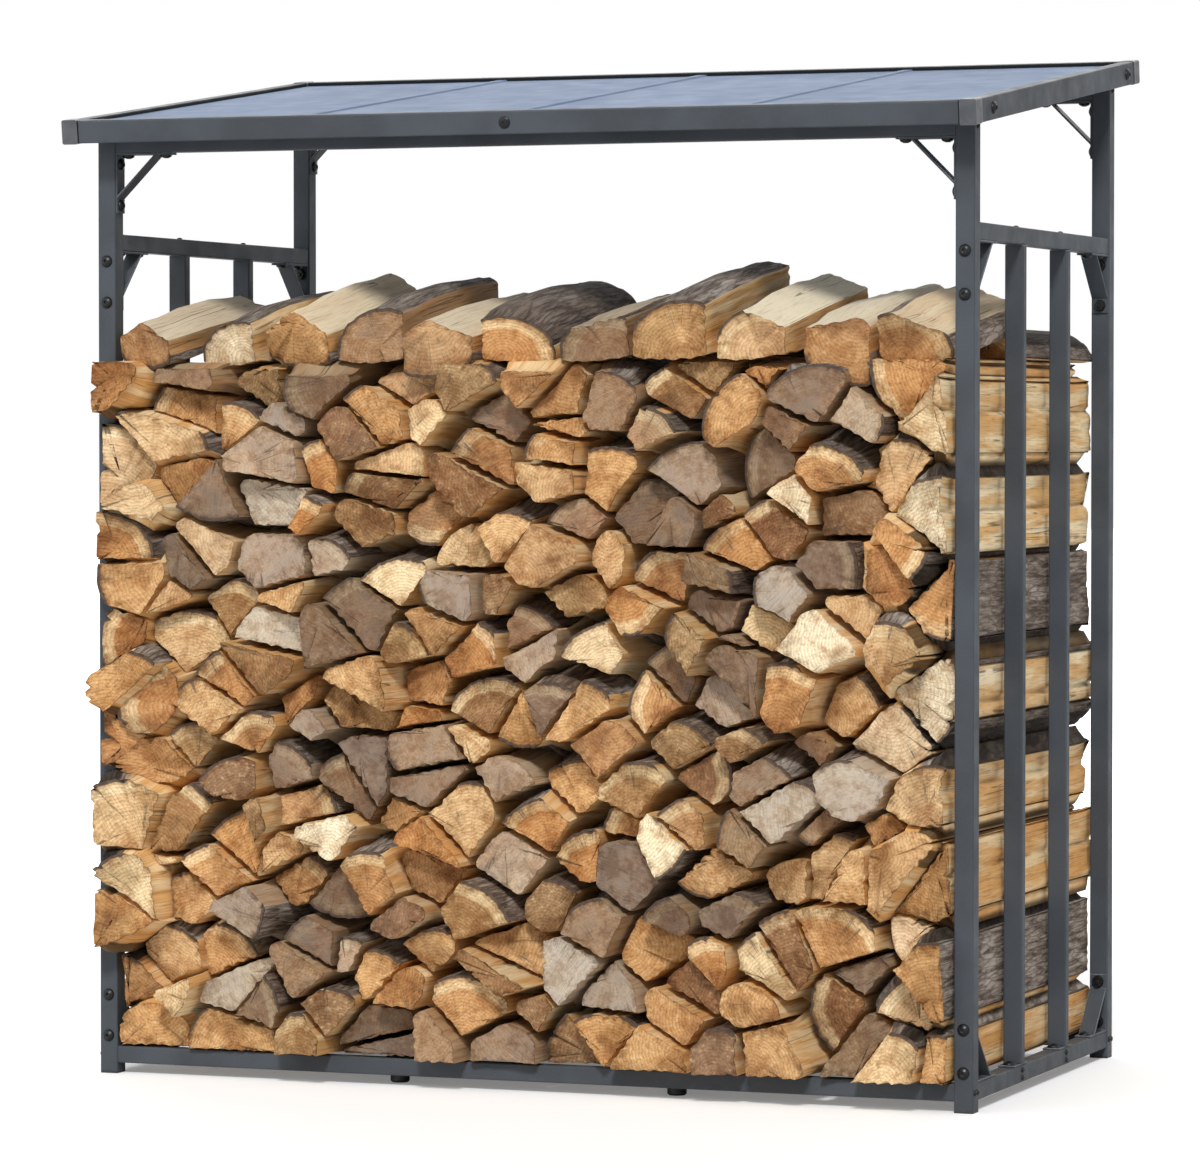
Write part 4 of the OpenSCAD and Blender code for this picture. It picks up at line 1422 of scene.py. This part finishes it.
class LOGSTORE_OT_stage(bpy.types.Operator):
    """Pale floor, soft light and the camera"""
    bl_idname = "log_store.stage"
    bl_label = "Stage"

    def execute(self, context):
        look = settings().stage
        self.add_floor(look)
        self.add_world(look)
        for name, places in LIGHTS.items():
            self.add_light(name, *places, getattr(look, name))
        self.add_camera(look)
        context.scene.view_settings.view_transform = "Standard"
        return {"FINISHED"}

    def add_floor(self, look):
        bm = bmesh.new()
        bmesh.ops.create_circle(bm, cap_ends=True, segments=96, radius=FLOOR_R)
        mesh = bpy.data.meshes.new("floor")
        bm.to_mesh(mesh)
        bm.free()
        finish = Finish("studio_floor")
        finish.set(Base_Color=look.floor, Roughness=0.9, Specular_IOR_Level=0.1)
        finish.set(Emission_Color=(1, 1, 1), Emission_Strength=self.floor_glow(finish))
        mesh.materials.append(finish.material)
        floor = bpy.data.objects.new("floor", mesh)
        bpy.context.scene.collection.objects.link(floor)

    def floor_glow(self, finish):
        """White to the camera far from the store, with the floor's own shade near it."""
        away = finish.vector_math("LENGTH", finish.place(), (0, 0, 0)).outputs["Value"]
        far = finish.step(away, 0.9, 4.0, 0.2, 1.0)
        return finish.times(far, finish.node("ShaderNodeLightPath").outputs["Is Camera Ray"])

    def add_world(self, look):
        world = bpy.data.worlds.new("studio")
        bpy.context.scene.world = world
        world.use_nodes = True
        nodes, links = world.node_tree.nodes, world.node_tree.links
        background = nodes["Background"]
        background.inputs["Color"].default_value = (1, 1, 1, 1)
        path = nodes.new("ShaderNodeLightPath")
        seen = nodes.new("ShaderNodeMath")
        seen.operation = "MAXIMUM"
        links.new(path.outputs["Is Camera Ray"], seen.inputs[0])
        links.new(path.outputs["Is Glossy Ray"], seen.inputs[1])
        strength = nodes.new("ShaderNodeMapRange")
        strength.inputs["To Min"].default_value = look.sky
        strength.inputs["To Max"].default_value = 1.0
        links.new(seen.outputs[0], strength.inputs["Value"])
        links.new(strength.outputs[0], background.inputs["Strength"])

    def add_light(self, name, azimuth, elevation, spread, strength):
        """Even light from one side; azimuth 0 is the front and 90 the right."""
        data = bpy.data.lights.new(name, "SUN")
        data.energy, data.angle = strength, math.radians(spread)
        light = bpy.data.objects.new(name, data)
        bpy.context.scene.collection.objects.link(light)
        turn, rise = math.radians(azimuth), math.radians(elevation)
        source = Vector((math.sin(turn) * math.cos(rise), -math.cos(turn) * math.cos(rise), math.sin(rise)))
        light.rotation_euler = (-source).to_track_quat("-Z", "Y").to_euler()

    def add_camera(self, look):
        data = bpy.data.cameras.new("camera")
        data.sensor_width, data.lens = 36, look.lens
        camera = bpy.data.objects.new("camera", data)
        bpy.context.scene.collection.objects.link(camera)
        level, rise = math.cos(CAMERA_PITCH), math.sin(CAMERA_PITCH)
        ahead = Vector((-math.sin(CAMERA_YAW) * level, math.cos(CAMERA_YAW) * level, rise))
        camera.location = CAMERA_PLACE
        camera.rotation_euler = ahead.to_track_quat("-Z", "Y").to_euler()
        data.clip_end = CAMERA_REACH
        bpy.context.scene.camera = camera


class LOGSTORE_PT_panel(bpy.types.Panel):
    """Lists the pieces of the log store"""
    bl_idname = "LOGSTORE_PT_panel"
    bl_label = "Log store"
    bl_space_type = "VIEW_3D"
    bl_region_type = "UI"
    bl_category = "Log store"

    def draw(self, context):
        for operator in OPERATORS:
            self.layout.operator(operator.bl_idname)


SETTINGS = (
    SteelSettings, RoofSettings, FastenerSettings, FirewoodSettings, StageSettings, LogStoreSettings,
)
OPERATORS = (
    LOGSTORE_OT_stage, LOGSTORE_OT_steel, LOGSTORE_OT_roof, LOGSTORE_OT_feet, LOGSTORE_OT_fasteners,
    LOGSTORE_OT_firewood,
)
CLASSES = SETTINGS + OPERATORS + (LOGSTORE_PT_panel,)


def register():
    for cls in CLASSES:
        bpy.utils.register_class(cls)
    bpy.types.Scene.log_store = PointerProperty(
        type=LogStoreSettings, name="Log store", description="Sizes and colours of the log store")


def unregister():
    del bpy.types.Scene.log_store
    for cls in reversed(CLASSES):
        bpy.utils.unregister_class(cls)


def main():
    register()
    bpy.ops.log_store.stage()
    bpy.ops.log_store.steel()
    bpy.ops.log_store.roof()
    bpy.ops.log_store.feet()
    bpy.ops.log_store.fasteners()
    bpy.ops.log_store.firewood()


if __name__ == "__main__":
    main()
